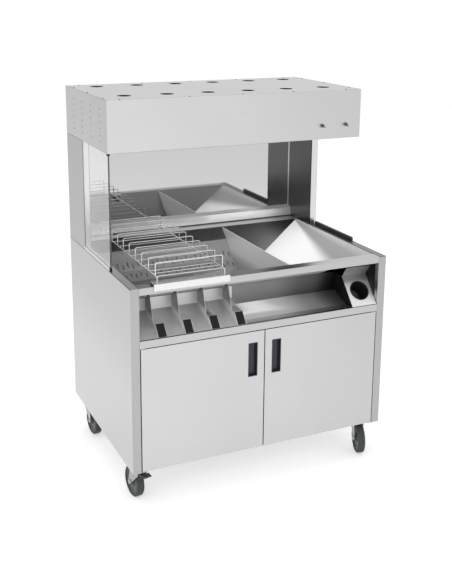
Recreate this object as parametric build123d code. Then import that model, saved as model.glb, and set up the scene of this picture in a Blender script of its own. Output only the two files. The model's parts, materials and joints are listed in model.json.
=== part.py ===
from build123d import *
import math
import os

# Food warmer station: a cabinet on castors with a sloped well for hot chips, and a heated hood above it.
# Millimetres, +Z up, front towards -Y, origin on the floor under the middle of the overall box.
# Depths (d) are measured from the cabinet's front face towards the back.

# Overall sizes
WIDTH = 1100
DEPTH = 800
CABINET_BOTTOM = 155
WORKTOP = 890
HOOD_CLEARANCE = 456
HOOD_HEIGHT = 200
HOOD_SETBACK = 235

# Sheet thicknesses and clearances
SHEET = 1.5
THIN_SHEET = 1.2
MOVING_GAP = 0.4
RUNNING_GAP = 0.05

# Cabinet
POST_WIDTH = 34
POST_RETURN = 22
REAR_FLANGE = 25
BOTTOM_UPSTAND = 20
SHELF_HEIGHT = 400
SHELF_FRONT = 60
SHELF_EDGE = 25
FRONT_RAIL_HEIGHT = 27
FRONT_DECK = 45
LIP_DROP = 233
LIP_HEIGHT = 29
LIP_FLANGE = 45
LIP_TOP_FLANGE = 18

# Well
REAR_DECK = 107
WELL_DEPTH = 238.5
FRONT_WALL_SLOPE = 0.82
BACK_WALL_SLOPE = 0.956
RAMP_SLOPE = 0.475
LEFT_WALL_LEAN = 11
WELL_SIDE_GAP = 5
WELL_RAMP_GAP = 2
WELL_FLANGE = 12
SCREEN_TOP_BACK = 56
SCREEN_FOLD_BACK = 124
SCREEN_FRONT_BACK = 178
SCREEN_DROP = 26
SCREEN_LIFT = 4
SCREEN_HEM = 8
SLOT_PITCH = 22.5
SLOT_WIDTH = 4.5
SLOT_LENGTH = 19
SLOT_STAGGER = 8
BACK_SLOT_GAP = 4
FRONT_SLOT_GAP = 13
SLOT_MARGIN = 13.5
RAMP_REACH = 387
DIVIDER_TOP_GAP = 2
DIVIDER_WALL_GAP = 2
DIVIDER_GAP = 1
DIVIDER_HEM = 7
TAB_LENGTH = 46
TAB_WIDTH = 62
TAB_REACHES = (397, 235)
TAB_POINT = 10.3

# Open bay under the worktop
BAY_STRIP = 54
BAY_BACK = 149
BAY_FOLD_RISE = 35.5
CARTON_END_MARGIN = 4.5
CARTON_SHELF_RISE = 64
CARTON_FLOOR_FRONT = 4
FIN_FRONT = 52
CARTON_FLOOR_LIFT = 3
CARTON_PITCH = 108.5
CARTON_FIRST_GAP = 74
CARTON_COUNT = 4
FIN_TOP_FRONT = 100
BOOT_WIDTH = 36
BOOT_TOP_BACK = 38
BOOT_SLOPE = 1.172
BOOT_FRONT_THICKNESS = 2
SHAKER_WIDTH = 116
SHAKER_TOP = 91
SHAKER_FLAP_RISE = 43
SHAKER_FLAP_REACH = 30
SHAKER_CUP_INSET = 59
SHAKER_CUP_DEPTH = 45
CUP_RADIUS = 40
CUP_RIM = 2.5
CUP_WALL = 2
CUP_LENGTH = 80
CUP_ROOM = 4

# Upper works
COLUMN_DEPTH = 228
COLUMN_WIDTH = 32
LEDGE_BACK_REACH = 44
LEDGE_HEIGHT = 41
LEDGE_RISE = 9
MIRROR_BACK_REACH = 15
MIRROR_THICKNESS = 2
GLASS_THICKNESS = 6
CHANNEL_HEIGHT = 15
CHANNEL_BASE = 2
CAP_LENGTH = 9
TOP_CLIP = 14
BAR_FRONT_GAP = 15
BAR_BACK_GAP = 9
BAR_HEIGHT = 16
BAR_WIDTH = 11
BAR_ROUND = 7

# Hood
HOOD_FLANGE = 20
TOP_HOLE_RADIUS = 27.5
TOP_HOLE_EDGE = 110
TOP_HOLE_COUNT = 6
TOP_HOLE_FRONT = 125
TOP_HOLE_BACK = 85
HEATER_FRONT = 125
HEATER_BACK = 200
SIDE_VENT_RADIUS = 3
SIDE_VENT_FRONT = 86
SIDE_VENT_BACK = 120
SIDE_VENT_COLUMNS = 4
SIDE_VENT_BOTTOM = 35
SIDE_VENT_PITCH = 25
SIDE_VENT_ROWS = 6
HEATER_END = 100
REFLECTOR_WIDTH = 120
REFLECTOR_HEIGHT = 62
REFLECTOR_CROWN = 50
TUBE_RADIUS = 6
TUBE_RISE = 26
HOLDER_SIZE = 22
SCREW_RADIUS = 3.5
SCREW_HEIGHT = 1.6
SCREW_EDGE = 12
FRONT_SCREW_STEPS = (-0.92, -0.4, 0.02, 0.44, 0.9)
SIDE_SCREW_STEPS = (0.12, 0.5, 0.86)
SWITCH_INSETS = (182, 70)
SWITCH_RISE = 57
BUSH_RADIUS = 6.5
BUSH_LENGTH = 9
NUT_RADIUS = 9
NUT_THICKNESS = 3
LEVER_BALL = 3.6
LEVER_LENGTH = 20
LEVER_TIP = 3
LEVER_ROOT = 1.65
BUSH_FLARE = 1
BUSH_FLARE_ANGLE = 12
LEVER_TILT = 12
SWITCH_BODY_WIDTH = 20
SWITCH_BODY_HEIGHT = 30
SWITCH_BODY_DEPTH = 28

# Doors
DOOR_GAP = 3
DOOR_BOTTOM_GAP = 3
DOOR_THICKNESS = 22
PIVOT_INSET = 10
PIVOT_DEPTH = 7
PIVOT_RADIUS = 4
PIVOT_REACH = 16
PIVOT_PLATE = 2
PULL_WIDTH = 40
PULL_HEIGHT = 140
PULL_INSET = 30
PULL_DROP = 49
PULL_DEPTH = 14
PULL_WALL = 2
PULL_RIM = 0.8
CATCH_WIDTH = 44
CATCH_HEIGHT = 16
CATCH_DEPTH = 14
CATCH_INSET = 70

# Wire rack
RACK_SIDE_GAP = 79.3
RACK_WIDTH = 271.7
WIRE_RADIUS = 2
CROSS_WIRE_RADIUS = 1.8
WELD_GAP = 0.05
HOOP_CORNER = 7
RACK_RAIL_RISE = 27.5
HOOP_HEIGHT = 48
HOOP_FIRST = 44
HOOP_LAST_GAP = 24.3
HOOP_COUNT = 10
RACK_FRONT_LEG = 25
RACK_REAR_REACH = 72
BRACKET_OVERHANG = 23
BRACKET_TOP = 8.5
BRACKET_FRONT = 3
BRACKET_BACK = 42
BRACKET_SKIRT = 17

# Castors
WHEEL_RADIUS = 62.5
WHEEL_WIDTH = 30
TREAD_THICKNESS = 16
TREAD_ROUND = 6
HUB_INSET = 2.5
HUB_RIM = 5
HUB_DISH = 3
BOSS_RADIUS = 13
AXLE_RADIUS = 6
AXLE_OVERHANG = 4
AXLE_HEAD_RADIUS = 9
FORK_SHEET = 3
FORK_GAP = 3
FORK_CROWN_GAP = 8
FORK_EYE = 13
FORK_RACE_GAP = 1
CASTOR_TRAIL = 32
CASTOR_INSET_X = 48
CASTOR_INSET_Y = 86
PLATE_THICKNESS = 4
PLATE_X = 84
PLATE_Y = 100
PLATE_BOLT_X = 60
PLATE_BOLT_Y = 76
PLATE_BOLT_RADIUS = 4
BOLT_HEAD_RADIUS = 7
BOLT_HEAD_HEIGHT = 5
RACE_RADIUS = 25
RACE_GAP = 0.3
KINGPIN_RADIUS = 6
KINGPIN_HEAD = 11
KINGPIN_HEAD_HEIGHT = 4
PEDAL_PIVOT_AHEAD = 30
PEDAL_PIVOT_DROP = 14
PEDAL_PIN_RADIUS = 3
PEDAL_HUB_RADIUS = 7
PEDAL_REACH = 44
PEDAL_PAD = 26
PEDAL_PAD_WIDTH = 30
PEDAL_PAD_OFFSET = 8
PEDAL_ARM_WIDTH = 18
PEDAL_THICKNESS = 4
PEDAL_SHOE = 24
PEDAL_SHOE_WIDTH = 24
PEDAL_SIDE_GAP = 1

# Cable grommet in the back panel, for the supply lead
GROMMET_INSET = 150
GROMMET_RISE = 105
GROMMET_RADIUS = 18
GROMMET_BORE = 9
GROMMET_LIP = 7
GROMMET_NECK = 14

# Places worked out from the sizes above
FRONT = -DEPTH / 2
SIDE = WIDTH / 2
INNER = SIDE - POST_WIDTH
HOOD_BOTTOM = WORKTOP + HOOD_CLEARANCE
HOOD_TOP = HOOD_BOTTOM + HOOD_HEIGHT
LIP_BOTTOM = WORKTOP - LIP_DROP
LIP_TOP = LIP_BOTTOM + LIP_HEIGHT
WELL_BACK = DEPTH - REAR_DECK
WELL_RIM = WORKTOP - SHEET
WELL_FLOOR = WELL_RIM - WELL_DEPTH
WELL_LEFT = -INNER + WELL_SIDE_GAP
WELL_RIGHT = INNER - WELL_RAMP_GAP
DIVIDER_X = WELL_RIGHT - RAMP_REACH
SCREEN_TOP = WELL_BACK - SCREEN_TOP_BACK
SCREEN_FOLD = WELL_BACK - SCREEN_FOLD_BACK
SCREEN_FRONT = WELL_BACK - SCREEN_FRONT_BACK
COLUMN_FRONT = DEPTH - COLUMN_DEPTH
COLUMN_INNER = SIDE - COLUMN_WIDTH
LEDGE_FRONT = DEPTH - LEDGE_BACK_REACH
MIRROR_FACE = DEPTH - MIRROR_BACK_REACH
HEATER_ROWS = (HOOD_SETBACK + HEATER_FRONT, DEPTH - HEATER_BACK)
HEATER_HALF = SIDE - HEATER_END
SWITCH_PLACES = (SIDE - SWITCH_INSETS[0], SIDE - SWITCH_INSETS[1])
CARTON_FIRST = -INNER + CARTON_FIRST_GAP
CARTON_LAST = CARTON_FIRST + CARTON_PITCH * (CARTON_COUNT - 1)
CARTON_RACK_END = CARTON_LAST + BOOT_WIDTH + CARTON_END_MARGIN
CARTON_SHELF = LIP_TOP + CARTON_SHELF_RISE
SHAKER_LEFT = INNER - SHAKER_WIDTH
SHAKER_CUP_X = INNER - SHAKER_CUP_INSET
RACK_LEFT = -INNER + RACK_SIDE_GAP
RACK_RIGHT = RACK_LEFT + RACK_WIDTH
RACK_REAR_LEG = DEPTH - RACK_REAR_REACH
HOOP_PITCH = (RACK_REAR_LEG - HOOP_LAST_GAP - HOOP_FIRST) / (HOOP_COUNT - 1)
GROMMET_X = SIDE - GROMMET_INSET
GROMMET_Z = CABINET_BOTTOM + GROMMET_RISE
AXLE_HEIGHT = WHEEL_RADIUS
FORK_TOP = 2 * WHEEL_RADIUS + FORK_CROWN_GAP + FORK_SHEET + FORK_RACE_GAP
BAY_FLOOR = LIP_TOP - SHEET
BAY_FOLD = BAY_FLOOR + BAY_FOLD_RISE


def block(x0, x1, d0, d1, z0, z1):
    """A box between two x places, two depths from the front and two heights."""
    middle = Pos((x0 + x1) / 2, (d0 + d1) / 2 + FRONT, (z0 + z1) / 2)
    return middle * Box(x1 - x0, d1 - d0, z1 - z0)


def side_shape(outline, x0, x1):
    """An outline of (depth, height) points, carried from x0 to x1."""
    wire = Polyline([(x0, d + FRONT, z) for d, z in outline], close=True)
    return extrude(make_face(wire), amount=x1 - x0, dir=(1, 0, 0))


def front_shape(outline, d0, d1):
    """An outline of (x, height) points, carried from depth d0 to d1."""
    wire = Polyline([(x, d0 + FRONT, z) for x, z in outline], close=True)
    return extrude(make_face(wire), amount=d1 - d0, dir=(0, 1, 0))


def plan_shape(outline, z0, z1):
    """An outline of (x, depth) points, carried from z0 up to z1."""
    wire = Polyline([(x, d + FRONT, z0) for x, d in outline], close=True)
    return extrude(make_face(wire), amount=z1 - z0, dir=(0, 0, 1))


def unit(a, b):
    length = math.dist(a, b)
    return ((b[0] - a[0]) / length, (b[1] - a[1]) / length)


def offset_path(path, thickness):
    """The same path moved to its left, with mitred corners."""
    moved = []
    for i, point in enumerate(path):
        before = unit(path[i - 1], point) if i > 0 else None
        after = unit(point, path[i + 1]) if i < len(path) - 1 else None
        first = before or after
        second = after or before
        n1 = (-first[1], first[0])
        n2 = (-second[1], second[0])
        scale = thickness / (1 + n1[0] * n2[0] + n1[1] * n2[1])
        moved.append((point[0] + (n1[0] + n2[0]) * scale, point[1] + (n1[1] + n2[1]) * scale))
    return moved


def bent_sheet(path, thickness):
    """The outline of a bent sheet whose material lies to the left of the path."""
    return list(path) + list(reversed(offset_path(path, thickness)))


def plates(path, thickness):
    """Outlines of the flats of a bent sheet, one for each run, mitred where they meet."""
    other = offset_path(path, thickness)
    return [[path[i], path[i + 1], other[i + 1], other[i]] for i in range(len(path) - 1)]


def mirrored(shape):
    return mirror(shape, about=Plane.YZ)


def rod(x, d, z, radius, length, direction=(0, 0, 1)):
    """A round bar that starts at a point and runs along a direction."""
    plane = Plane(origin=(x, d + FRONT, z), z_dir=direction)
    return extrude(plane * Circle(radius), amount=length)


def group(solids):
    return Compound(children=[part if isinstance(part, Solid) else part.solid() for part in solids])


def front_wall_height(d):
    return WELL_RIM - (d - FRONT_DECK) * FRONT_WALL_SLOPE


def back_wall_height(d):
    return WELL_RIM - (WELL_BACK - d) * BACK_WALL_SLOPE


def ramp_height(x):
    return WELL_RIM - (WELL_RIGHT - x) * RAMP_SLOPE


def panel_height(d):
    """Height of the slanted bay fronts, which rise from the lip towards the back."""
    return LIP_TOP + MOVING_GAP + d * BOOT_SLOPE


# Cabinet sides: each is one sheet, folded in at the front as a post, on top as a rim and at the back
def side_panel():
    path = [
        (-SIDE + REAR_FLANGE, DEPTH),
        (-SIDE, DEPTH),
        (-SIDE, 0),
        (-INNER, 0),
        (-INNER, POST_RETURN),
    ]
    wall = plan_shape(bent_sheet(path, SHEET), CABINET_BOTTOM, WORKTOP)
    rim = block(-SIDE, -INNER, 0, DEPTH, WORKTOP - SHEET, WORKTOP)
    return wall + rim


def cabinet_back():
    back = block(
        -SIDE + SHEET, SIDE - SHEET, DEPTH - 2 * SHEET, DEPTH - SHEET, CABINET_BOTTOM, WORKTOP - 2 * SHEET
    )
    hole = rod(GROMMET_X, DEPTH - 3 * SHEET, GROMMET_Z, GROMMET_NECK, 4 * SHEET, (0, 1, 0))
    return back - hole


def bottom_panel():
    edge = SIDE - SHEET
    path = [
        (-edge, CABINET_BOTTOM + BOTTOM_UPSTAND),
        (-edge, CABINET_BOTTOM),
        (edge, CABINET_BOTTOM),
        (edge, CABINET_BOTTOM + BOTTOM_UPSTAND),
    ]
    pan = front_shape(bent_sheet(path, SHEET), DOOR_THICKNESS + 2 * SHEET, DEPTH - 2 * SHEET)
    for x, d in castor_places():
        for bolt_x, bolt_d in bolt_places(x, d):
            pan -= rod(bolt_x, bolt_d, CABINET_BOTTOM - SHEET, PLATE_BOLT_RADIUS, 3 * SHEET)
    return pan


def storage_shelf():
    edge = SIDE - SHEET
    path = [
        (edge, SHELF_HEIGHT - SHELF_EDGE),
        (edge, SHELF_HEIGHT),
        (-edge, SHELF_HEIGHT),
        (-edge, SHELF_HEIGHT - SHELF_EDGE),
    ]
    tray = front_shape(bent_sheet(path, SHEET), SHELF_FRONT, DEPTH - 2 * SHEET)
    nose = block(-edge, edge, SHELF_FRONT, SHELF_FRONT + SHEET, SHELF_HEIGHT - SHELF_EDGE, SHELF_HEIGHT)
    return tray + nose


def lip_rail():
    path = [
        (LIP_FLANGE, LIP_BOTTOM),
        (0, LIP_BOTTOM),
        (0, LIP_TOP),
        (LIP_TOP_FLANGE, LIP_TOP),
    ]
    outline = bent_sheet(list(reversed(path)), SHEET)
    return side_shape(outline, -INNER, INNER)


def worktop_strips():
    """Front strip with its turned-down face, two small locating tabs at the well, and the rear strip."""
    path = [
        (FRONT_DECK, WORKTOP),
        (0, WORKTOP),
        (0, WORKTOP - FRONT_RAIL_HEIGHT),
    ]
    strips = [side_shape(outline, -INNER, INNER) for outline in plates(path, SHEET)]
    for reach in TAB_REACHES:
        x = DIVIDER_X - reach
        corners = [
            (x - TAB_WIDTH / 2, FRONT_DECK),
            (x + TAB_WIDTH / 2, FRONT_DECK),
            (x + TAB_POINT, FRONT_DECK + TAB_LENGTH),
        ]
        strips.append(plan_shape(corners, WORKTOP - SHEET, WORKTOP))
    strips.append(block(-INNER, INNER, WELL_BACK, DEPTH - 2 * SHEET, WORKTOP - SHEET, WORKTOP))
    return group(strips)


# Well: a folded hopper with steep front and back walls and a long ramp on the right
def well_outlines(grow):
    """The well's outlines along its depth and across its width, grown outwards by one sheet or not."""
    above = 2 * WELL_FLANGE
    sides = [
        (FRONT_DECK - above / FRONT_WALL_SLOPE, WELL_RIM + above),
        (FRONT_DECK + WELL_DEPTH / FRONT_WALL_SLOPE, WELL_FLOOR),
        (WELL_BACK - WELL_DEPTH / BACK_WALL_SLOPE, WELL_FLOOR),
        (WELL_BACK + above / BACK_WALL_SLOPE, WELL_RIM + above),
    ]
    ends = [
        (WELL_LEFT - LEFT_WALL_LEAN * above / WELL_DEPTH, WELL_RIM + above),
        (WELL_LEFT + LEFT_WALL_LEAN, WELL_FLOOR),
        (WELL_RIGHT - WELL_DEPTH / RAMP_SLOPE, WELL_FLOOR),
        (WELL_RIGHT + above / RAMP_SLOPE, WELL_RIM + above),
    ]
    if grow:
        sides = offset_path(sides, -grow)
        ends = offset_path(ends, -grow)
    return sides, ends


def well_space(grow):
    """The well's space as two crossing solids: one shaped along the depth, one across the width."""
    sides, ends = well_outlines(grow)
    return side_shape(sides, -WIDTH, WIDTH), front_shape(ends, -DEPTH, 2 * DEPTH)


def well_hopper():
    """Floor, four walls and four rim strips, each a flat plate welded to its neighbours."""
    sides, ends = well_outlines(0)
    lengthways, across = well_space(SHEET)
    inner_lengthways = well_space(0)[0]
    hull = lengthways & across & block(-WIDTH, WIDTH, 0, DEPTH, 0, WELL_RIM)
    walls = [hull & side_shape(outline, -WIDTH, WIDTH) for outline in plates(sides, -SHEET)]
    left_wall, _, ramp = plates(ends, -SHEET)
    for outline in (left_wall, ramp):
        walls.append(hull & inner_lengthways & front_shape(outline, -DEPTH, 2 * DEPTH))
    reach = INNER + WELL_FLANGE
    rim = block(
        -reach, reach, FRONT_DECK - WELL_FLANGE, WELL_BACK + WELL_FLANGE, WELL_RIM - SHEET, WELL_RIM
    )
    strips = [*(rim - lengthways).solids(), *((rim & lengthways) - across).solids()]
    return group(walls + strips)


def slotted_screen():
    path = [
        (SCREEN_FRONT, back_wall_height(SCREEN_FRONT)),
        (SCREEN_FRONT, back_wall_height(SCREEN_FOLD) - SCREEN_DROP),
        (SCREEN_FOLD, back_wall_height(SCREEN_FOLD) + SCREEN_LIFT),
        (SCREEN_TOP - SCREEN_LIFT, back_wall_height(SCREEN_TOP - SCREEN_LIFT) + SCREEN_LIFT),
        (SCREEN_TOP, back_wall_height(SCREEN_TOP)),
        (SCREEN_TOP + SCREEN_HEM, back_wall_height(SCREEN_TOP + SCREEN_HEM)),
    ]
    left = WELL_LEFT + LEFT_WALL_LEAN
    right = DIVIDER_X - DIVIDER_GAP
    screen = side_shape(bent_sheet(path, THIN_SHEET), left, right)
    screen &= well_space(0)[1]
    count = int((right - left - SLOT_PITCH) / SLOT_PITCH)
    slots = []
    for i in range(count):
        x = right - SLOT_MARGIN - SLOT_PITCH * i
        shift = SLOT_STAGGER * (i % 2)
        for start in (SCREEN_FOLD + BACK_SLOT_GAP, SCREEN_FRONT + FRONT_SLOT_GAP):
            d0 = start + shift
            slots.append(
                block(x - SLOT_WIDTH / 2, x + SLOT_WIDTH / 2, d0, d0 + SLOT_LENGTH, WELL_FLOOR, WELL_RIM)
            )
    return screen - slots


def divider():
    """A loose plate that stands in the well, with a folded bead on its top edge."""
    top = WORKTOP - DIVIDER_TOP_GAP
    foot = ramp_height(DIVIDER_X + THIN_SHEET) + MOVING_GAP
    front_top = FRONT_DECK + (WELL_RIM - top) / FRONT_WALL_SLOPE + DIVIDER_WALL_GAP
    front_foot = FRONT_DECK + (WELL_RIM - foot) / FRONT_WALL_SLOPE + DIVIDER_WALL_GAP
    back_top = WELL_BACK - (WELL_RIM - top) / BACK_WALL_SLOPE - DIVIDER_WALL_GAP
    back_foot = WELL_BACK - (WELL_RIM - foot) / BACK_WALL_SLOPE - DIVIDER_WALL_GAP
    corners = [(front_top, top), (front_foot, foot), (back_foot, foot), (back_top, top)]
    plate = side_shape(corners, DIVIDER_X, DIVIDER_X + THIN_SHEET)
    bead_length = DIVIDER_HEM / FRONT_WALL_SLOPE
    bead = block(
        DIVIDER_X,
        DIVIDER_X + 2 * THIN_SHEET,
        front_top + bead_length,
        back_top - bead_length,
        top - DIVIDER_HEM,
        top,
    )
    return plate + bead


# Open bay: a trough across the front, with a carton rack on the left and a shaker panel on the right
def bay_trough():
    """Front strip, sloping floor and back, open under the shaker's cup, with a cheek at each end."""
    top = front_wall_height(BAY_BACK) - 3 * SHEET
    path = [(SHEET, BAY_FLOOR), (BAY_STRIP, BAY_FLOOR), (BAY_BACK, BAY_FOLD), (BAY_BACK, top)]
    strip, slope, back = plates(path, -SHEET)
    hole_left = SHAKER_CUP_X - CUP_RADIUS - CUP_ROOM
    hole_right = SHAKER_CUP_X + CUP_RADIUS + CUP_ROOM
    hole_front = FRONT_DECK - 2 * CUP_ROOM
    solids = [side_shape(back, -INNER, INNER)]
    for x0, x1 in ((-INNER, hole_left), (hole_right, INNER)):
        solids.append(side_shape(strip, x0, x1))
        solids.append(side_shape(slope, x0, x1))
    solids.append(block(hole_left, hole_right, SHEET, hole_front, BAY_FLOOR - SHEET, BAY_FLOOR))
    cheek_top = WELL_RIM - 5 * SHEET
    cheek = [(POST_RETURN, BAY_FLOOR), *path[1:], (FRONT_DECK, cheek_top), (POST_RETURN, cheek_top)]
    for x in (-INNER, INNER - SHEET):
        solids.append(side_shape(cheek, x, x + SHEET))
    return group(solids)


def carton_places():
    return [CARTON_FIRST + CARTON_PITCH * i for i in range(CARTON_COUNT)]


def carton_floor_height(d):
    """Height of the rack's sloping floor, from just above the lip up to its fold at the back."""
    low = LIP_TOP + CARTON_FLOOR_LIFT
    run = BAY_BACK - SHEET - CARTON_FLOOR_FRONT
    return low + (CARTON_SHELF - low) * (d - CARTON_FLOOR_FRONT) / run


def carton_rack():
    """Back, sloping floor, fins between the cartons, and a hollow boot at the right of each fin."""
    back = BAY_BACK - SHEET
    top = front_wall_height(back) - 4 * SHEET
    path = [
        (back, top),
        (back, CARTON_SHELF),
        (CARTON_FLOOR_FRONT, carton_floor_height(CARTON_FLOOR_FRONT)),
    ]
    solids = [side_shape(outline, -INNER + SHEET, CARTON_RACK_END) for outline in plates(path, SHEET)]
    crest = front_wall_height(FIN_TOP_FRONT) - 4 * SHEET
    fin = [
        (FIN_FRONT, carton_floor_height(FIN_FRONT)),
        (back, CARTON_SHELF),
        (back, top),
        (FIN_TOP_FRONT, crest),
    ]
    start = CARTON_FLOOR_FRONT
    boot_top = panel_height(BOOT_TOP_BACK)
    rise = (CARTON_SHELF - LIP_TOP - CARTON_FLOOR_LIFT) / (back - start)
    meet = start + (boot_top - LIP_TOP - CARTON_FLOOR_LIFT) / rise
    cheek = [
        (start, carton_floor_height(start)),
        (start, panel_height(start)),
        (BOOT_TOP_BACK, boot_top),
        (meet, boot_top),
    ]
    lid = [
        (BOOT_TOP_BACK, boot_top - SHEET),
        (BOOT_TOP_BACK, boot_top),
        (meet, boot_top),
        (meet - SHEET / rise, boot_top - SHEET),
    ]
    for x in carton_places():
        above = block(x, x + SHEET, 0, DEPTH, boot_top, WORKTOP)
        solids.append(side_shape(fin, x, x + SHEET) & above)
        solids.append(side_shape(cheek, x, x + SHEET))
        solids.append(side_shape(cheek, x + BOOT_WIDTH - SHEET, x + BOOT_WIDTH))
        solids.append(side_shape(lid, x + SHEET, x + BOOT_WIDTH - SHEET))
    return group(solids)


def boot_fronts():
    """Black slanted fronts of the boots, one between each pair of cheeks."""
    fronts = []
    start = CARTON_FLOOR_FRONT
    low = panel_height(start)
    high = panel_height(BOOT_TOP_BACK)
    outline = [
        (start, low),
        (BOOT_TOP_BACK, high),
        (BOOT_TOP_BACK, high - SHEET),
        (start + BOOT_FRONT_THICKNESS, carton_floor_height(start + BOOT_FRONT_THICKNESS)),
        (start, carton_floor_height(start)),
    ]
    for x in carton_places():
        fronts.append(side_shape(outline, x + SHEET, x + BOOT_WIDTH - SHEET))
    return group(fronts)


def cup_axis():
    slope_length = math.hypot(1, BOOT_SLOPE)
    return (0, -BOOT_SLOPE / slope_length, 1 / slope_length)


def cup_centre():
    return (SHAKER_CUP_X, SHAKER_CUP_DEPTH, panel_height(SHAKER_CUP_DEPTH))


def shaker_panel():
    """Slanted panel with the cup's hole, a flap folded up behind it and a cheek on its left."""
    right = INNER - SHEET
    path = [
        (SHAKER_TOP - SHAKER_FLAP_REACH, panel_height(SHAKER_TOP) + SHAKER_FLAP_RISE),
        (SHAKER_TOP, panel_height(SHAKER_TOP)),
        (SHEET, panel_height(SHEET)),
    ]
    flap, face = plates(path, SHEET)
    _, fold, foot = offset_path(path, SHEET)
    cheek = [
        foot,
        fold,
        (BAY_BACK - SHEET, fold[1]),
        (BAY_BACK - SHEET, BAY_FOLD + SHEET),
        (BAY_STRIP, BAY_FLOOR + SHEET),
        (LIP_TOP_FLANGE + SHEET, panel_height(0)),
    ]
    x, d, z = cup_centre()
    axis = cup_axis()
    back = 4 * SHEET
    start = (x, d - axis[1] * back, z - axis[2] * back)
    hole = rod(*start, CUP_RADIUS + MOVING_GAP, 2 * back, axis)
    return group([
        side_shape(face, SHAKER_LEFT, right) - hole,
        side_shape(flap, SHAKER_LEFT, right),
        side_shape(cheek, SHAKER_LEFT, SHAKER_LEFT + SHEET),
    ])


def shaker_cup():
    x, d, z = cup_centre()
    axis = cup_axis()
    bottom = (x, d - axis[1] * CUP_LENGTH, z - axis[2] * CUP_LENGTH)
    floor = (bottom[0], bottom[1] + axis[1] * CUP_WALL, bottom[2] + axis[2] * CUP_WALL)
    rim = (x, d + axis[1] * MOVING_GAP, z + axis[2] * MOVING_GAP)
    shell = rod(*bottom, CUP_RADIUS, CUP_LENGTH + MOVING_GAP + CUP_WALL, axis)
    shell += rod(*rim, CUP_RADIUS + CUP_RIM, CUP_WALL, axis)
    return shell - rod(*floor, CUP_RADIUS - CUP_WALL, CUP_LENGTH + CUP_WALL, axis)


# Upper works: ledge, mirror, columns, glass and the bar on the right
def rear_ledge():
    path = [
        (MIRROR_FACE - 2 * SHEET, WORKTOP),
        (LEDGE_FRONT, WORKTOP),
        (LEDGE_FRONT, WORKTOP + LEDGE_HEIGHT),
        (MIRROR_FACE, WORKTOP + LEDGE_HEIGHT + LEDGE_RISE),
    ]
    outline = bent_sheet(list(reversed(path)), SHEET)
    return side_shape(outline, -COLUMN_INNER, COLUMN_INNER) - mirror_panel()


def mirror_panel():
    return block(
        -COLUMN_INNER, COLUMN_INNER, MIRROR_FACE, MIRROR_FACE + MIRROR_THICKNESS, WORKTOP, HOOD_BOTTOM
    )


def left_column():
    tube = block(-SIDE, -COLUMN_INNER, COLUMN_FRONT, DEPTH, WORKTOP, HOOD_BOTTOM)
    core = block(
        -SIDE + SHEET, -COLUMN_INNER - SHEET, COLUMN_FRONT + SHEET, DEPTH - SHEET, WORKTOP, HOOD_BOTTOM
    )
    return tube - core


def upper_back_panel():
    return block(-COLUMN_INNER, COLUMN_INNER, DEPTH - SHEET, DEPTH, WORKTOP, HOOD_BOTTOM)


def side_glass():
    left = -SIDE + SHEET
    return block(
        left,
        left + GLASS_THICKNESS,
        HOOD_SETBACK + SHEET,
        COLUMN_FRONT,
        WORKTOP + CHANNEL_BASE,
        HOOD_BOTTOM,
    )


def glass_channel():
    outer = block(
        -SIDE,
        -SIDE + GLASS_THICKNESS + 2 * SHEET,
        HOOD_SETBACK + CAP_LENGTH,
        COLUMN_FRONT,
        WORKTOP,
        WORKTOP + CHANNEL_HEIGHT,
    )
    groove = block(
        -SIDE + SHEET,
        -SIDE + SHEET + GLASS_THICKNESS,
        HOOD_SETBACK,
        COLUMN_FRONT,
        WORKTOP + CHANNEL_BASE,
        WORKTOP + 2 * CHANNEL_HEIGHT,
    )
    return outer - groove


def glass_caps():
    """Black end cap at the glass's front foot, and a black clip at its top front corner."""
    right = -SIDE + GLASS_THICKNESS + 2 * SHEET
    glass = side_glass()
    foot = block(
        -SIDE, right, HOOD_SETBACK, HOOD_SETBACK + CAP_LENGTH, WORKTOP, WORKTOP + CHANNEL_HEIGHT
    )
    clip = block(
        -SIDE, right, HOOD_SETBACK, HOOD_SETBACK + TOP_CLIP, HOOD_BOTTOM - TOP_CLIP / 2, HOOD_BOTTOM
    )
    return group([foot - glass, clip - glass])


def knock_bar():
    front = HOOD_SETBACK + BAR_FRONT_GAP
    back = COLUMN_FRONT - BAR_BACK_GAP
    bar = block(SIDE - BAR_WIDTH, SIDE, front, back, WORKTOP, WORKTOP + BAR_HEIGHT)
    ends = bar.edges().filter_by(Axis.X).group_by(Axis.Z)[-1]
    return fillet(ends, BAR_ROUND)


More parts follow.
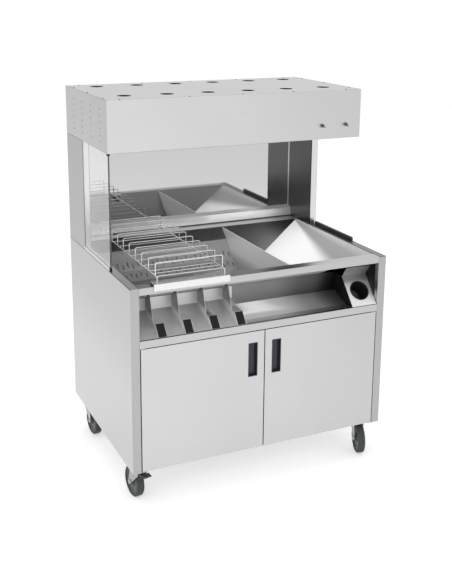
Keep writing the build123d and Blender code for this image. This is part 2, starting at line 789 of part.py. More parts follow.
# Hood: a folded shell with a screwed top, and a pan below that carries two heaters
def hood_shell():
    outer = block(-SIDE, SIDE, HOOD_SETBACK, DEPTH, HOOD_BOTTOM, HOOD_TOP)
    core = block(
        -SIDE + SHEET,
        SIDE - SHEET,
        HOOD_SETBACK + SHEET,
        DEPTH - SHEET,
        HOOD_BOTTOM + SHEET,
        HOOD_TOP - 2 * SHEET,
    )
    mouth = block(
        -SIDE + HOOD_FLANGE,
        SIDE - HOOD_FLANGE,
        HOOD_SETBACK + HOOD_FLANGE,
        DEPTH - HOOD_FLANGE,
        HOOD_BOTTOM - 1,
        HOOD_TOP + 1,
    )
    seat = block(
        -SIDE + SHEET, SIDE - SHEET, HOOD_SETBACK + SHEET, DEPTH - SHEET, HOOD_TOP - SHEET, HOOD_TOP + 1
    )
    shell = outer - core - mouth - seat
    vents = []
    first = HOOD_SETBACK + SIDE_VENT_FRONT
    pitch = (DEPTH - SIDE_VENT_BACK - first) / (SIDE_VENT_COLUMNS - 1)
    for column in range(SIDE_VENT_COLUMNS):
        d = first + pitch * column
        for row in range(SIDE_VENT_ROWS):
            z = HOOD_BOTTOM + SIDE_VENT_BOTTOM + SIDE_VENT_PITCH * row
            for x in (-SIDE - SHEET, SIDE - 2 * SHEET):
                vents.append(rod(x, d, z, SIDE_VENT_RADIUS, 3 * SHEET, (1, 0, 0)))
    for x in SWITCH_PLACES:
        z = HOOD_BOTTOM + SWITCH_RISE
        vents.append(rod(x, HOOD_SETBACK - SHEET, z, BUSH_RADIUS, 3 * SHEET, (0, 1, 0)))
    return shell - vents


def top_hole_places():
    places = []
    first = -SIDE + TOP_HOLE_EDGE
    pitch = -2 * first / (TOP_HOLE_COUNT - 1)
    for d in (HOOD_SETBACK + TOP_HOLE_FRONT, DEPTH - TOP_HOLE_BACK):
        for i in range(TOP_HOLE_COUNT):
            places.append((first + pitch * i, d))
    return places


def hood_top():
    gap = SHEET + MOVING_GAP
    cover = block(
        -SIDE + gap, SIDE - gap, HOOD_SETBACK + gap, DEPTH - gap, HOOD_TOP - SHEET, HOOD_TOP
    )
    holes = [rod(x, d, HOOD_TOP - 2 * SHEET, TOP_HOLE_RADIUS, 4 * SHEET) for x, d in top_hole_places()]
    return cover - holes


def hood_screws():
    front = HOOD_SETBACK + SCREW_EDGE
    back = DEPTH - SCREW_EDGE
    side = SIDE - SCREW_EDGE
    places = []
    for step in FRONT_SCREW_STEPS:
        places.append((step * side, front))
        places.append((step * side, back))
    for step in SIDE_SCREW_STEPS:
        places.append((-side, front + step * (back - front)))
        places.append((side, front + step * (back - front)))
    return group([rod(x, d, HOOD_TOP, SCREW_RADIUS, SCREW_HEIGHT) for x, d in places])


def hood_pan():
    pan = block(
        -SIDE + SHEET,
        SIDE - SHEET,
        HOOD_SETBACK + SHEET,
        DEPTH - SHEET,
        HOOD_BOTTOM + SHEET,
        HOOD_BOTTOM + 2 * SHEET,
    )
    reach = REFLECTOR_WIDTH / 2 - SHEET
    for d in HEATER_ROWS:
        pan -= block(
            -HEATER_HALF, HEATER_HALF, d - reach, d + reach, HOOD_BOTTOM, HOOD_BOTTOM + 3 * SHEET
        )
    return pan


def heater_reflectors():
    """Bright folded troughs above the pan's two long openings, closed at both ends."""
    base = HOOD_BOTTOM + 2 * SHEET
    troughs = []
    for d in HEATER_ROWS:
        path = [
            (d - REFLECTOR_WIDTH / 2, base),
            (d - REFLECTOR_CROWN / 2, base + REFLECTOR_HEIGHT),
            (d + REFLECTOR_CROWN / 2, base + REFLECTOR_HEIGHT),
            (d + REFLECTOR_WIDTH / 2, base),
        ]
        trough = side_shape(bent_sheet(path, SHEET), -HEATER_HALF, HEATER_HALF)
        for x in (-HEATER_HALF, HEATER_HALF - SHEET):
            trough += side_shape(path, x, x + SHEET)
        troughs.append(trough)
    return group(troughs)


def tube_height():
    return HOOD_BOTTOM + 2 * SHEET + TUBE_RISE


def heater_tubes():
    half = HEATER_HALF - SHEET - HOLDER_SIZE / 2
    tubes = [rod(-half, d, tube_height(), TUBE_RADIUS, 2 * half, (1, 0, 0)) for d in HEATER_ROWS]
    return group(tubes)


def tube_holders():
    """White ceramic blocks that grip the ends of the quartz tubes."""
    half = HEATER_HALF - SHEET
    size = HOLDER_SIZE / 2
    holders = []
    for d in HEATER_ROWS:
        for sign in (-1, 1):
            x0, x1 = sorted((sign * half, sign * (half - HOLDER_SIZE)))
            z = tube_height()
            holder = block(x0, x1, d - size, d + size, z - size, z + size)
            start = sign * (half - HOLDER_SIZE / 2)
            bore = rod(start, d, z, TUBE_RADIUS, HOLDER_SIZE, (-sign, 0, 0))
            holders.append(holder - bore)
    return group(holders)


def switch_height():
    return HOOD_BOTTOM + SWITCH_RISE


def toggle_switches():
    """Threaded bush, nut and body of each toggle switch."""
    solids = []
    z = switch_height()
    for x in SWITCH_PLACES:
        tip = HOOD_SETBACK - BUSH_LENGTH
        bush = rod(x, tip, z, BUSH_RADIUS - MOVING_GAP, BUSH_LENGTH + SHEET, (0, 1, 0))
        nut_plane = Plane(origin=(x, HOOD_SETBACK + FRONT, z), z_dir=(0, -1, 0))
        bush += extrude(nut_plane * RegularPolygon(NUT_RADIUS, 6), amount=NUT_THICKNESS)
        bush += block(
            x - SWITCH_BODY_WIDTH / 2,
            x + SWITCH_BODY_WIDTH / 2,
            HOOD_SETBACK + SHEET,
            HOOD_SETBACK + SHEET + SWITCH_BODY_DEPTH,
            z - SWITCH_BODY_HEIGHT / 2,
            z + SWITCH_BODY_HEIGHT / 2,
        )
        bore_radius = LEVER_BALL + MOVING_GAP
        bore = rod(x, tip, z, bore_radius, BUSH_LENGTH + SHEET, (0, 1, 0))
        mouth_plane = Plane(origin=(x, tip + FRONT, z), z_dir=(0, 1, 0))
        mouth = extrude(
            mouth_plane * Circle(bore_radius + BUSH_FLARE), amount=BUSH_LENGTH / 2, taper=BUSH_FLARE_ANGLE
        )
        solids.append(bush - bore - mouth)
    return group(solids)


def toggle_lever(x):
    """Bat lever tilted down, on the ball that turns inside its bush."""
    ball_depth = HOOD_SETBACK - LEVER_BALL
    z = switch_height()
    tilt = math.radians(LEVER_TILT)
    direction = (0, -math.cos(tilt), -math.sin(tilt))
    ball = Pos(x, ball_depth + FRONT, z) * Sphere(LEVER_BALL)
    plane = Plane(origin=(x, ball_depth + FRONT, z), z_dir=direction)
    stem = loft([plane * Circle(LEVER_ROOT), plane.offset(LEVER_LENGTH) * Circle(LEVER_TIP)])
    tip_centre = plane.offset(LEVER_LENGTH).origin
    tip = Pos(tip_centre.X, tip_centre.Y, tip_centre.Z) * Sphere(LEVER_TIP)
    return ball + stem + tip


# Doors: two inset double-skinned doors on pivot pins at their outer corners
def door_places():
    return (-INNER + DOOR_GAP, -DOOR_GAP / 2, CABINET_BOTTOM + DOOR_BOTTOM_GAP, LIP_BOTTOM - DOOR_GAP)


def pivot_place():
    return (-INNER + DOOR_GAP + PIVOT_INSET, PIVOT_DEPTH)


def pull_places():
    x1 = -DOOR_GAP / 2 - PULL_INSET
    top = LIP_BOTTOM - PULL_DROP
    return (x1 - PULL_WIDTH, x1, top - PULL_HEIGHT, top)


def pull_recess(grow):
    x0, x1, z0, z1 = pull_places()
    edge = PULL_WALL - grow
    return block(x0 + edge, x1 - edge, -1, PULL_DEPTH + grow, z0 + edge, z1 - edge)


def left_door_skin():
    x0, x1, z0, z1 = door_places()
    outer = block(x0, x1, 0, DOOR_THICKNESS, z0, z1)
    core = block(
        x0 + THIN_SHEET, x1 - THIN_SHEET, THIN_SHEET, DOOR_THICKNESS + 1, z0 + THIN_SHEET, z1 - THIN_SHEET
    )
    x, d = pivot_place()
    pins = rod(x, d, z0 - 1, PIVOT_RADIUS + RUNNING_GAP, z1 - z0 + 2)
    recess = pull_recess(0) & block(-WIDTH, 0, -1, 2 * THIN_SHEET, 0, WORKTOP)
    return outer - core - pins - recess


def left_door_liner():
    x0, x1, z0, z1 = door_places()
    return block(
        x0 + THIN_SHEET,
        x1 - THIN_SHEET,
        DOOR_THICKNESS - THIN_SHEET,
        DOOR_THICKNESS,
        z0 + THIN_SHEET,
        z1 - THIN_SHEET,
    )


def left_pull():
    """Black recessed pull: a thin rim on the door's face and a cup behind it."""
    x0, x1, z0, z1 = pull_places()
    rim = block(x0, x1, -PULL_RIM, 0, z0, z1)
    cup = pull_recess(0) & block(-WIDTH, 0, 0, PULL_DEPTH, 0, WORKTOP)
    inside = block(
        x0 + 2 * PULL_WALL,
        x1 - 2 * PULL_WALL,
        -PULL_RIM - 1,
        PULL_DEPTH - PULL_WALL,
        z0 + 2 * PULL_WALL,
        z1 - 2 * PULL_WALL,
    )
    return rim + cup - inside


def hinge_brackets():
    """A small plate with a riveted pivot pin at each door corner."""
    x, d = pivot_place()
    z0 = CABINET_BOTTOM
    z1 = LIP_BOTTOM
    edge = -INNER
    inner_edge = x + 2 * PIVOT_RADIUS
    back = DOOR_THICKNESS + 3 * SHEET
    low = block(edge, inner_edge, PULL_RIM, back - SHEET * 1.5, z0, z0 + PIVOT_PLATE)
    low += rod(x, d, z0, PIVOT_RADIUS, PIVOT_REACH)
    high = block(edge, inner_edge, PULL_RIM, back - SHEET * 1.5, z1 - PIVOT_PLATE, z1)
    high += rod(x, d, z1 - PIVOT_REACH, PIVOT_RADIUS, PIVOT_REACH)
    return group([low, high, mirrored(low), mirrored(high)])


def magnet_catches():
    """Magnets in black cases under the lip, just behind each closed door."""
    catches = []
    for sign in (-1, 1):
        x = sign * CATCH_INSET
        d0 = DOOR_THICKNESS + MOVING_GAP
        catch = block(
            x - CATCH_WIDTH / 2,
            x + CATCH_WIDTH / 2,
            d0,
            d0 + CATCH_DEPTH,
            LIP_BOTTOM - CATCH_HEIGHT,
            LIP_BOTTOM,
        )
        catches.append(catch)
    return group(catches)


# Wire rack over the left of the well
def wire(points, radius, corner):
    path = FilletPolyline(*[(x, d + FRONT, z) for x, d, z in points], radius=corner)
    start = Plane(origin=path @ 0, z_dir=path % 0)
    return sweep(start * Circle(radius), path=path)


def hoop_places():
    return [HOOP_FIRST + HOOP_PITCH * i for i in range(HOOP_COUNT)]


def wire_rack():
    """Two side rails with their legs, wires across under them, and hoops welded on top of them."""
    rail = WORKTOP + RACK_RAIL_RISE
    front_foot = WORKTOP + BRACKET_TOP + MOVING_GAP
    rear_foot = WORKTOP + MOVING_GAP
    wires = []
    for x in (RACK_LEFT, RACK_RIGHT):
        points = [
            (x, RACK_FRONT_LEG, front_foot),
            (x, RACK_FRONT_LEG, rail),
            (x, RACK_REAR_LEG, rail),
            (x, RACK_REAR_LEG, rear_foot),
        ]
        wires.append(wire(points, WIRE_RADIUS, HOOP_CORNER))
    below = rail - WIRE_RADIUS - CROSS_WIRE_RADIUS - WELD_GAP
    start = RACK_LEFT - WIRE_RADIUS
    for d in [*hoop_places(), HOOP_FIRST + HOOP_PITCH / 2]:
        wires.append(rod(start, d, below, CROSS_WIRE_RADIUS, RACK_RIGHT + WIRE_RADIUS - start, (1, 0, 0)))
    foot = rail + WIRE_RADIUS + WELD_GAP
    top = rail + HOOP_HEIGHT
    for d in hoop_places():
        points = [(RACK_LEFT, d, foot), (RACK_LEFT, d, top), (RACK_RIGHT, d, top), (RACK_RIGHT, d, foot)]
        wires.append(wire(points, WIRE_RADIUS, HOOP_CORNER))
    return group(wires)


def rack_bracket():
    top = WORKTOP + BRACKET_TOP
    path = [
        (-BRACKET_FRONT, WORKTOP - BRACKET_SKIRT),
        (-BRACKET_FRONT, top),
        (BRACKET_BACK, top),
        (BRACKET_BACK, WORKTOP + MOVING_GAP),
    ]
    outline = bent_sheet(list(reversed(path)), SHEET)
    return side_shape(outline, RACK_LEFT - BRACKET_OVERHANG, RACK_RIGHT + BRACKET_OVERHANG / 2)


# Castors: place, turn about the upright axis, and whether the wheel trails to the back or the front
def castor_places():
    x = SIDE - CASTOR_INSET_X
    near = CASTOR_INSET_Y
    far = DEPTH - CASTOR_INSET_Y
    return [(-x, near), (x, near), (-x, far), (x, far)]


CASTOR_NAMES = ("front_left", "front_right", "rear_left", "rear_right")
CASTOR_TURNS = (6, 162, 184, -172)


def bolt_places(x, d):
    return [
        (x + i * PLATE_BOLT_X / 2, d + j * PLATE_BOLT_Y / 2) for i in (-1, 1) for j in (-1, 1)
    ]


def castor_plates():
    """Top plate, ball race and kingpin of each castor, bolted under the cabinet."""
    plates = []
    low = CABINET_BOTTOM - PLATE_THICKNESS
    for x, d in castor_places():
        plate = block(
            x - PLATE_X / 2, x + PLATE_X / 2, d - PLATE_Y / 2, d + PLATE_Y / 2, low, CABINET_BOTTOM
        )
        race_bottom = FORK_TOP + RACE_GAP
        plate += rod(x, d, race_bottom, RACE_RADIUS, low - race_bottom)
        pin_bottom = FORK_TOP - FORK_SHEET - RACE_GAP - KINGPIN_HEAD_HEIGHT
        plate += rod(x, d, pin_bottom, KINGPIN_RADIUS, low - pin_bottom)
        plate += rod(x, d, pin_bottom, KINGPIN_HEAD, KINGPIN_HEAD_HEIGHT)
        for bolt_x, bolt_d in bolt_places(x, d):
            plate -= rod(bolt_x, bolt_d, low - 1, PLATE_BOLT_RADIUS, PLATE_THICKNESS + 2)
            plates.append(plate_bolt(bolt_x, bolt_d, low))
        plates.append(plate)
    return group(plates)


def plate_bolt(x, d, low):
    """A bolt with its nut, clamping a castor's plate to the bottom panel."""
    head_plane = Plane(origin=(x, d + FRONT, low - BOLT_HEAD_HEIGHT))
    bolt = extrude(head_plane * RegularPolygon(BOLT_HEAD_RADIUS, 6), amount=BOLT_HEAD_HEIGHT)
    bolt += rod(x, d, low, PLATE_BOLT_RADIUS, PLATE_THICKNESS + SHEET)
    nut_plane = Plane(origin=(x, d + FRONT, CABINET_BOTTOM + SHEET))
    bolt += extrude(nut_plane * RegularPolygon(BOLT_HEAD_RADIUS, 6), amount=BOLT_HEAD_HEIGHT)
    return bolt


def place_castor(shape, index):
    """Moves a castor piece, drawn with its kingpin on the Z axis and its trail to +Y, to its corner."""
    x, d = castor_places()[index]
    return Pos(x, d + FRONT, 0) * Rot(0, 0, CASTOR_TURNS[index]) * shape


def upright_cylinder_x(y, z, radius, half_width):
    """A cylinder across the castor, along its own X axis."""
    plane = Plane(origin=(-half_width, y, z), z_dir=(1, 0, 0))
    return extrude(plane * Circle(radius), amount=2 * half_width)


def fork_half_gap():
    return WHEEL_WIDTH / 2 + FORK_GAP


def castor_fork(index):
    """Pressed fork with its riveted axle, and the cross pin of the pedal on a braked castor."""
    inner = fork_half_gap()
    outer = inner + FORK_SHEET
    crown_top = FORK_TOP
    front = PEDAL_PIVOT_AHEAD + PEDAL_HUB_RADIUS
    back = RACE_RADIUS
    pivot_z = crown_top - PEDAL_PIVOT_DROP
    side = [
        (-front, crown_top),
        (-front, pivot_z - PEDAL_HUB_RADIUS),
        (CASTOR_TRAIL - FORK_EYE, AXLE_HEIGHT),
        (CASTOR_TRAIL, AXLE_HEIGHT - FORK_EYE),
        (CASTOR_TRAIL + FORK_EYE, AXLE_HEIGHT),
        (back, crown_top),
    ]
    fork = None
    for x0, x1 in ((-outer, -inner), (inner, outer)):
        wire_loop = Polyline([(x0, y, z) for y, z in side], close=True)
        leg = extrude(make_face(wire_loop), amount=x1 - x0, dir=(1, 0, 0))
        fork = leg if fork is None else fork + leg
    crown = Pos(0, (back - front) / 2, crown_top - FORK_SHEET / 2) * Box(
        2 * outer, front + back, FORK_SHEET
    )
    fork += crown
    pin_hole = Pos(0, 0, crown_top) * Cylinder(KINGPIN_RADIUS + RUNNING_GAP, 4 * FORK_SHEET)
    fork -= pin_hole
    fork += upright_cylinder_x(CASTOR_TRAIL, AXLE_HEIGHT, AXLE_RADIUS, outer + AXLE_OVERHANG)
    for sign in (-1, 1):
        head = upright_cylinder_x(0, 0, AXLE_HEAD_RADIUS, AXLE_OVERHANG / 2)
        fork += Pos(sign * (outer + AXLE_OVERHANG / 2), CASTOR_TRAIL, AXLE_HEIGHT) * head
    if index < 2:
        fork += upright_cylinder_x(-PEDAL_PIVOT_AHEAD, pivot_z, PEDAL_PIN_RADIUS, outer)
    return place_castor(fork, index)


def castor_tyre(index):
    """Rubber tread with rounded shoulders."""
    half = WHEEL_WIDTH / 2
    tread = upright_cylinder_x(0, 0, WHEEL_RADIUS, half)
    tread = fillet(tread.edges().filter_by(GeomType.CIRCLE), TREAD_ROUND)
    tread -= upright_cylinder_x(0, 0, WHEEL_RADIUS - TREAD_THICKNESS, half + 1)
    return place_castor(Pos(0, CASTOR_TRAIL, AXLE_HEIGHT) * tread, index)


def castor_hub(index):
    """Moulded wheel centre, dished on both sides, with a boss that turns on the axle."""
    half = WHEEL_WIDTH / 2
    inner = WHEEL_RADIUS - TREAD_THICKNESS
    hub = upright_cylinder_x(0, 0, inner, half - HUB_INSET)
    hub += upright_cylinder_x(0, 0, BOSS_RADIUS, half + FORK_GAP - RACE_GAP)
    for sign in (-1, 1):
        dish = upright_cylinder_x(0, 0, inner - HUB_RIM, HUB_DISH)
        dish -= upright_cylinder_x(0, 0, BOSS_RADIUS + HUB_RIM, HUB_DISH)
        hub -= Pos(sign * (half - HUB_INSET), 0, 0) * dish
    hub -= upright_cylinder_x(0, 0, AXLE_RADIUS + RUNNING_GAP, half + 2 * FORK_GAP)
    return place_castor(Pos(0, CASTOR_TRAIL, AXLE_HEIGHT) * hub, index)


def brake_pedal(index):
    """Foot pedal on the fork's cross pin, with a shoe that swings against the tread."""
    half = fork_half_gap() - PEDAL_SIDE_GAP
    pivot_y = -PEDAL_PIVOT_AHEAD
    pivot_z = FORK_TOP - PEDAL_PIVOT_DROP
    hub = upright_cylinder_x(pivot_y, pivot_z, PEDAL_HUB_RADIUS, half)
    tip = pivot_y - PEDAL_REACH
    arm = [
        (pivot_y, pivot_z + PEDAL_THICKNESS / 2),
        (pivot_y, pivot_z - PEDAL_THICKNESS / 2),
        (tip, pivot_z - PEDAL_THICKNESS / 2),
        (tip, pivot_z + PEDAL_THICKNESS / 2),
    ]
    wire_loop = Polyline([(-PEDAL_ARM_WIDTH / 2, y, z) for y, z in arm], close=True)
    hub += extrude(make_face(wire_loop), amount=PEDAL_ARM_WIDTH, dir=(1, 0, 0))
    pad = Pos(PEDAL_PAD_OFFSET, tip + PEDAL_PAD / 2, pivot_z + PEDAL_THICKNESS / 2) * Box(
        PEDAL_PAD_WIDTH, PEDAL_PAD, PEDAL_THICKNESS
    )
    hub += pad
    shoe = Pos(0, pivot_y, pivot_z - PEDAL_SHOE / 2) * Box(
        PEDAL_SHOE_WIDTH, PEDAL_HUB_RADIUS, PEDAL_SHOE
    )
    hub += shoe
    hub -= upright_cylinder_x(pivot_y, pivot_z, PEDAL_PIN_RADIUS + RUNNING_GAP, half + 1)
    return place_castor(hub, index)


def cable_grommet():
    """Black rubber grommet in the hole of the back panel."""
    neck = rod(GROMMET_X, DEPTH - 2 * SHEET, GROMMET_Z, GROMMET_NECK, 2 * SHEET, (0, 1, 0))
    rim = rod(GROMMET_X, DEPTH - SHEET, GROMMET_Z, GROMMET_RADIUS, SHEET + GROMMET_LIP, (0, 1, 0))
    start = DEPTH - 4 * SHEET
    bore = rod(GROMMET_X, start, GROMMET_Z, GROMMET_BORE, 6 * SHEET + GROMMET_LIP, (0, 1, 0))
    return neck + rim - bore


def all_parts():
    parts = {
        "left_side_panel": side_panel(),
        "right_side_panel": mirrored(side_panel()),
        "cabinet_back": cabinet_back(),
        "bottom_panel": bottom_panel(),
        "storage_shelf": storage_shelf(),
        "lip_rail": lip_rail(),
        "worktop_strips": worktop_strips(),
        "well_hopper": well_hopper(),
        "slotted_screen": slotted_screen(),
        "divider": divider(),
        "bay_trough": bay_trough(),
        "carton_rack": carton_rack(),
        "boot_fronts": boot_fronts(),
        "shaker_panel": shaker_panel(),
        "shaker_cup": shaker_cup(),
        "rear_ledge": rear_ledge(),
        "mirror_panel": mirror_panel(),
        "left_column": left_column(),
        "right_column": mirrored(left_column()),
        "upper_back_panel": upper_back_panel(),
        "side_glass": side_glass(),
        "glass_channel": glass_channel(),
        "glass_caps": glass_caps(),
        "knock_bar": knock_bar(),
        "hood_shell": hood_shell(),
        "hood_top": hood_top(),
        "hood_screws": hood_screws(),
        "hood_pan": hood_pan(),
        "heater_reflectors": heater_reflectors(),
        "heater_tubes": heater_tubes(),
        "tube_holders": tube_holders(),
        "toggle_switches": toggle_switches(),
        "left_toggle": toggle_lever(SWITCH_PLACES[0]),
        "right_toggle": toggle_lever(SWITCH_PLACES[1]),
        "left_door_skin": left_door_skin(),
        "left_door_liner": left_door_liner(),
        "left_pull": left_pull(),
        "right_door_skin": mirrored(left_door_skin()),
        "right_door_liner": mirrored(left_door_liner()),
        "right_pull": mirrored(left_pull()),
        "hinge_brackets": hinge_brackets(),
        "magnet_catches": magnet_catches(),
        "wire_rack": wire_rack(),
        "rack_bracket": rack_bracket(),
        "castor_plates": castor_plates(),
        "cable_grommet": cable_grommet(),
    }
    for index, name in enumerate(CASTOR_NAMES):
        parts[name + "_fork"] = castor_fork(index)
        parts[name + "_tyre"] = castor_tyre(index)
        parts[name + "_hub"] = castor_hub(index)
        if index < 2:
            parts[name + "_pedal"] = brake_pedal(index)
    return parts


os.makedirs("parts", exist_ok=True)
for node, shape in all_parts().items():
    export_step(shape, "parts/" + node + ".step")
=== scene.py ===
import json
import math

import bmesh
import bpy
from mathutils import Euler, Matrix, Vector

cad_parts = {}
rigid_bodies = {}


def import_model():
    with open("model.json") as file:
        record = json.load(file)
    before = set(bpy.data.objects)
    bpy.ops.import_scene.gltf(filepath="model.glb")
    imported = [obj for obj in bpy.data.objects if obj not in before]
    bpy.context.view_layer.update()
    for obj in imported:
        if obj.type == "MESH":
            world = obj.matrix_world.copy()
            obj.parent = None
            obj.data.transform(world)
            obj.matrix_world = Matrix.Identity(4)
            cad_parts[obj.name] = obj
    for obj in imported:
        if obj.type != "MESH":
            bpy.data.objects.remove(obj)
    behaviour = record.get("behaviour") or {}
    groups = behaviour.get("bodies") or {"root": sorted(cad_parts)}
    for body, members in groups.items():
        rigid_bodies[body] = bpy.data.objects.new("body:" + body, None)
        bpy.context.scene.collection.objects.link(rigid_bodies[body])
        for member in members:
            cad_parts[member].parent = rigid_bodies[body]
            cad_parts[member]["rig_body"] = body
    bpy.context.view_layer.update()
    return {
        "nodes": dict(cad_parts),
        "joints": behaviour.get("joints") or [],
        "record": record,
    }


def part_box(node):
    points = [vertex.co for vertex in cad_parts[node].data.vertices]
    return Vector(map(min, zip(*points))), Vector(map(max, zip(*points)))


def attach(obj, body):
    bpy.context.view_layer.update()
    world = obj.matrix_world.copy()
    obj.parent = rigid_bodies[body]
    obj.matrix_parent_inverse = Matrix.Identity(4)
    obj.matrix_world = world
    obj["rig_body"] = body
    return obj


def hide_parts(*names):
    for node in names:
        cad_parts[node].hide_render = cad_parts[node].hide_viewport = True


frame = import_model()
nodes = frame["nodes"]


# Studio: the camera stands left of the station at the photograph's height and looks slightly down.
# A pale floor runs back to a white surround, soft panels light the steel, and three small lamps under
# the hood light the well, because the hood shades it.
CAMERA_PLACE = Vector((-1.551, -3.379, 1.950))
CAMERA_YAW = math.radians(24.83)
CAMERA_PITCH = math.radians(-13.33)
CAMERA_ROLL = math.radians(0.43)
PICTURE_HEIGHT = 584
FOCAL_PIXELS = 913.6
LENS_SHIFT = -0.15

camera_data = bpy.data.cameras.new("camera")
camera_data.sensor_width = 36
camera_data.lens = FOCAL_PIXELS / PICTURE_HEIGHT * camera_data.sensor_width
camera_data.shift_y = LENS_SHIFT
camera = bpy.data.objects.new("camera", camera_data)
turn = Euler((math.pi / 2 + CAMERA_PITCH, 0, -CAMERA_YAW)).to_matrix()
turn = turn @ Matrix.Rotation(CAMERA_ROLL, 3, "Z")
camera.matrix_world = Matrix.Translation(CAMERA_PLACE) @ turn.to_4x4()
bpy.context.scene.collection.objects.link(camera)
bpy.context.scene.camera = camera
bpy.context.scene.view_settings.view_transform = "Standard"


def new_nodes(owner):
    owner.use_nodes = True
    tree = owner.node_tree
    tree.nodes.clear()
    return tree


def add_node(tree, kind, **values):
    """Adds a shader node and sets its inputs, named in lower case with underscores."""
    node = tree.nodes.new(kind)
    for key, value in values.items():
        if hasattr(node, key):
            setattr(node, key, value)
        else:
            node.inputs[key.replace("_", " ").title()].default_value = value
    return node


def sees_background(tree):
    """One where a ray comes straight from the camera, from a reflection or through glass."""
    path = add_node(tree, "ShaderNodeLightPath")
    straight = add_node(tree, "ShaderNodeMath", operation="MAXIMUM")
    tree.links.new(path.outputs["Is Camera Ray"], straight.inputs[0])
    tree.links.new(path.outputs["Is Transmission Ray"], straight.inputs[1])
    seen = add_node(tree, "ShaderNodeMath", operation="MAXIMUM")
    tree.links.new(straight.outputs[0], seen.inputs[0])
    tree.links.new(path.outputs["Is Glossy Ray"], seen.inputs[1])
    return seen.outputs[0]


def light_surround():
    """White to the camera, in reflections and through glass; a soft top-lit grey to everything else."""
    world = bpy.data.worlds.new("studio")
    bpy.context.scene.world = world
    tree = new_nodes(world)
    direction = add_node(tree, "ShaderNodeTexCoord")
    split = add_node(tree, "ShaderNodeSeparateXYZ")
    tree.links.new(direction.outputs["Generated"], split.inputs[0])
    ramp = add_node(tree, "ShaderNodeValToRGB")
    ramp.color_ramp.elements[0].position = 0.0
    ramp.color_ramp.elements[0].color = (0.62, 0.62, 0.63, 1)
    ramp.color_ramp.elements[1].position = 0.7
    ramp.color_ramp.elements[1].color = (1.0, 1.0, 1.0, 1)
    tree.links.new(split.outputs["Z"], ramp.inputs[0])
    soft = add_node(tree, "ShaderNodeBackground", strength=0.75)
    tree.links.new(ramp.outputs[0], soft.inputs["Color"])
    white = add_node(tree, "ShaderNodeBackground", strength=1.0)
    white.inputs["Color"].default_value = (1, 1, 1, 1)
    mix = add_node(tree, "ShaderNodeMixShader")
    tree.links.new(sees_background(tree), mix.inputs[0])
    tree.links.new(soft.outputs[0], mix.inputs[1])
    tree.links.new(white.outputs[0], mix.inputs[2])
    output = add_node(tree, "ShaderNodeOutputWorld")
    tree.links.new(mix.outputs[0], output.inputs["Surface"])


def soft_panel(name, place, aim, width, height, power):
    data = bpy.data.lights.new(name, "AREA")
    data.shape = "RECTANGLE"
    data.size = width
    data.size_y = height
    data.energy = power
    panel = bpy.data.objects.new(name, data)
    panel.location = place
    panel.rotation_euler = (Vector(aim) - Vector(place)).to_track_quat("-Z", "Y").to_euler()
    panel.visible_camera = panel.visible_glossy = panel.visible_transmission = False
    bpy.context.scene.collection.objects.link(panel)


light_surround()
soft_panel("left_panel", (-1.5, -3.7, 3.3), (0.1, 0, 0.9), 2.6, 1.6, 36)
soft_panel("right_panel", (1.3, -3.7, 2.2), (0, 0, 0.9), 1.0, 0.7, 6)
soft_panel("side_panel", (-3.6, -1.2, 3.0), (0, 0, 0.8), 3.0, 2.4, 16)
soft_panel("top_panel", (0, 0.4, 4.2), (0, 0, 1.0), 3.0, 2.4, 18)

for x in (-0.25, 0.05, 0.35):
    lamp = bpy.data.lights.new("hood_lamp", "SPOT")
    lamp.energy = 3.6
    lamp.spot_size = math.radians(165)
    lamp.spot_blend = 1.0
    lamp.shadow_soft_size = 0.025
    hood_lamp = bpy.data.objects.new("hood_lamp", lamp)
    hood_lamp.location = (x, 0.08, 1.31)
    hood_lamp.visible_camera = hood_lamp.visible_glossy = hood_lamp.visible_transmission = False
    bpy.context.scene.collection.objects.link(hood_lamp)

FLOOR_REACH = 9.0
floor_mesh = bpy.data.meshes.new("studio_floor")
floor_bm = bmesh.new()
bmesh.ops.create_grid(floor_bm, x_segments=1, y_segments=1, size=FLOOR_REACH)
floor_bm.to_mesh(floor_mesh)
floor_bm.free()
floor = bpy.data.objects.new("studio_floor", floor_mesh)
bpy.context.scene.collection.objects.link(floor)
floor_paint = bpy.data.materials.new("studio_floor")
tree = new_nodes(floor_paint)
floor_shader = add_node(tree, "ShaderNodeBsdfDiffuse")
floor_shader.inputs["Color"].default_value = (0.82, 0.82, 0.82, 1)
floor_glow = add_node(tree, "ShaderNodeEmission", strength=0.45)
floor_sum = add_node(tree, "ShaderNodeAddShader")
floor_mix = add_node(tree, "ShaderNodeMixShader")
floor_output = add_node(tree, "ShaderNodeOutputMaterial")
tree.links.new(floor_shader.outputs[0], floor_sum.inputs[0])
tree.links.new(floor_glow.outputs[0], floor_sum.inputs[1])
tree.links.new(sees_background(tree), floor_mix.inputs[0])
tree.links.new(floor_shader.outputs[0], floor_mix.inputs[1])
tree.links.new(floor_sum.outputs[0], floor_mix.inputs[2])
tree.links.new(floor_mix.outputs[0], floor_output.inputs["Surface"])
floor_mesh.materials.append(floor_paint)


# Cabinet sides, back and inside: brushed stainless sheet, folded on a press.
# Each copy of a sheet gets round folds, and its cut edges lose their sharpness.
FOLD_RADIUS = 0.0022
INNER_FOLD_RADIUS = 0.0008
CUT_EDGE = 0.0003
BROAD_FACE = 0.006
SIDE_COLOUR = (0.54, 0.54, 0.54)
POST_PAINTED_SHADE = (0.42, 0.42, 0.42)
RIM_PAINTED_LIGHT = (0.90, 0.90, 0.90)
RIM_SHADE_LINE = (0.12, 0.12, 0.12)


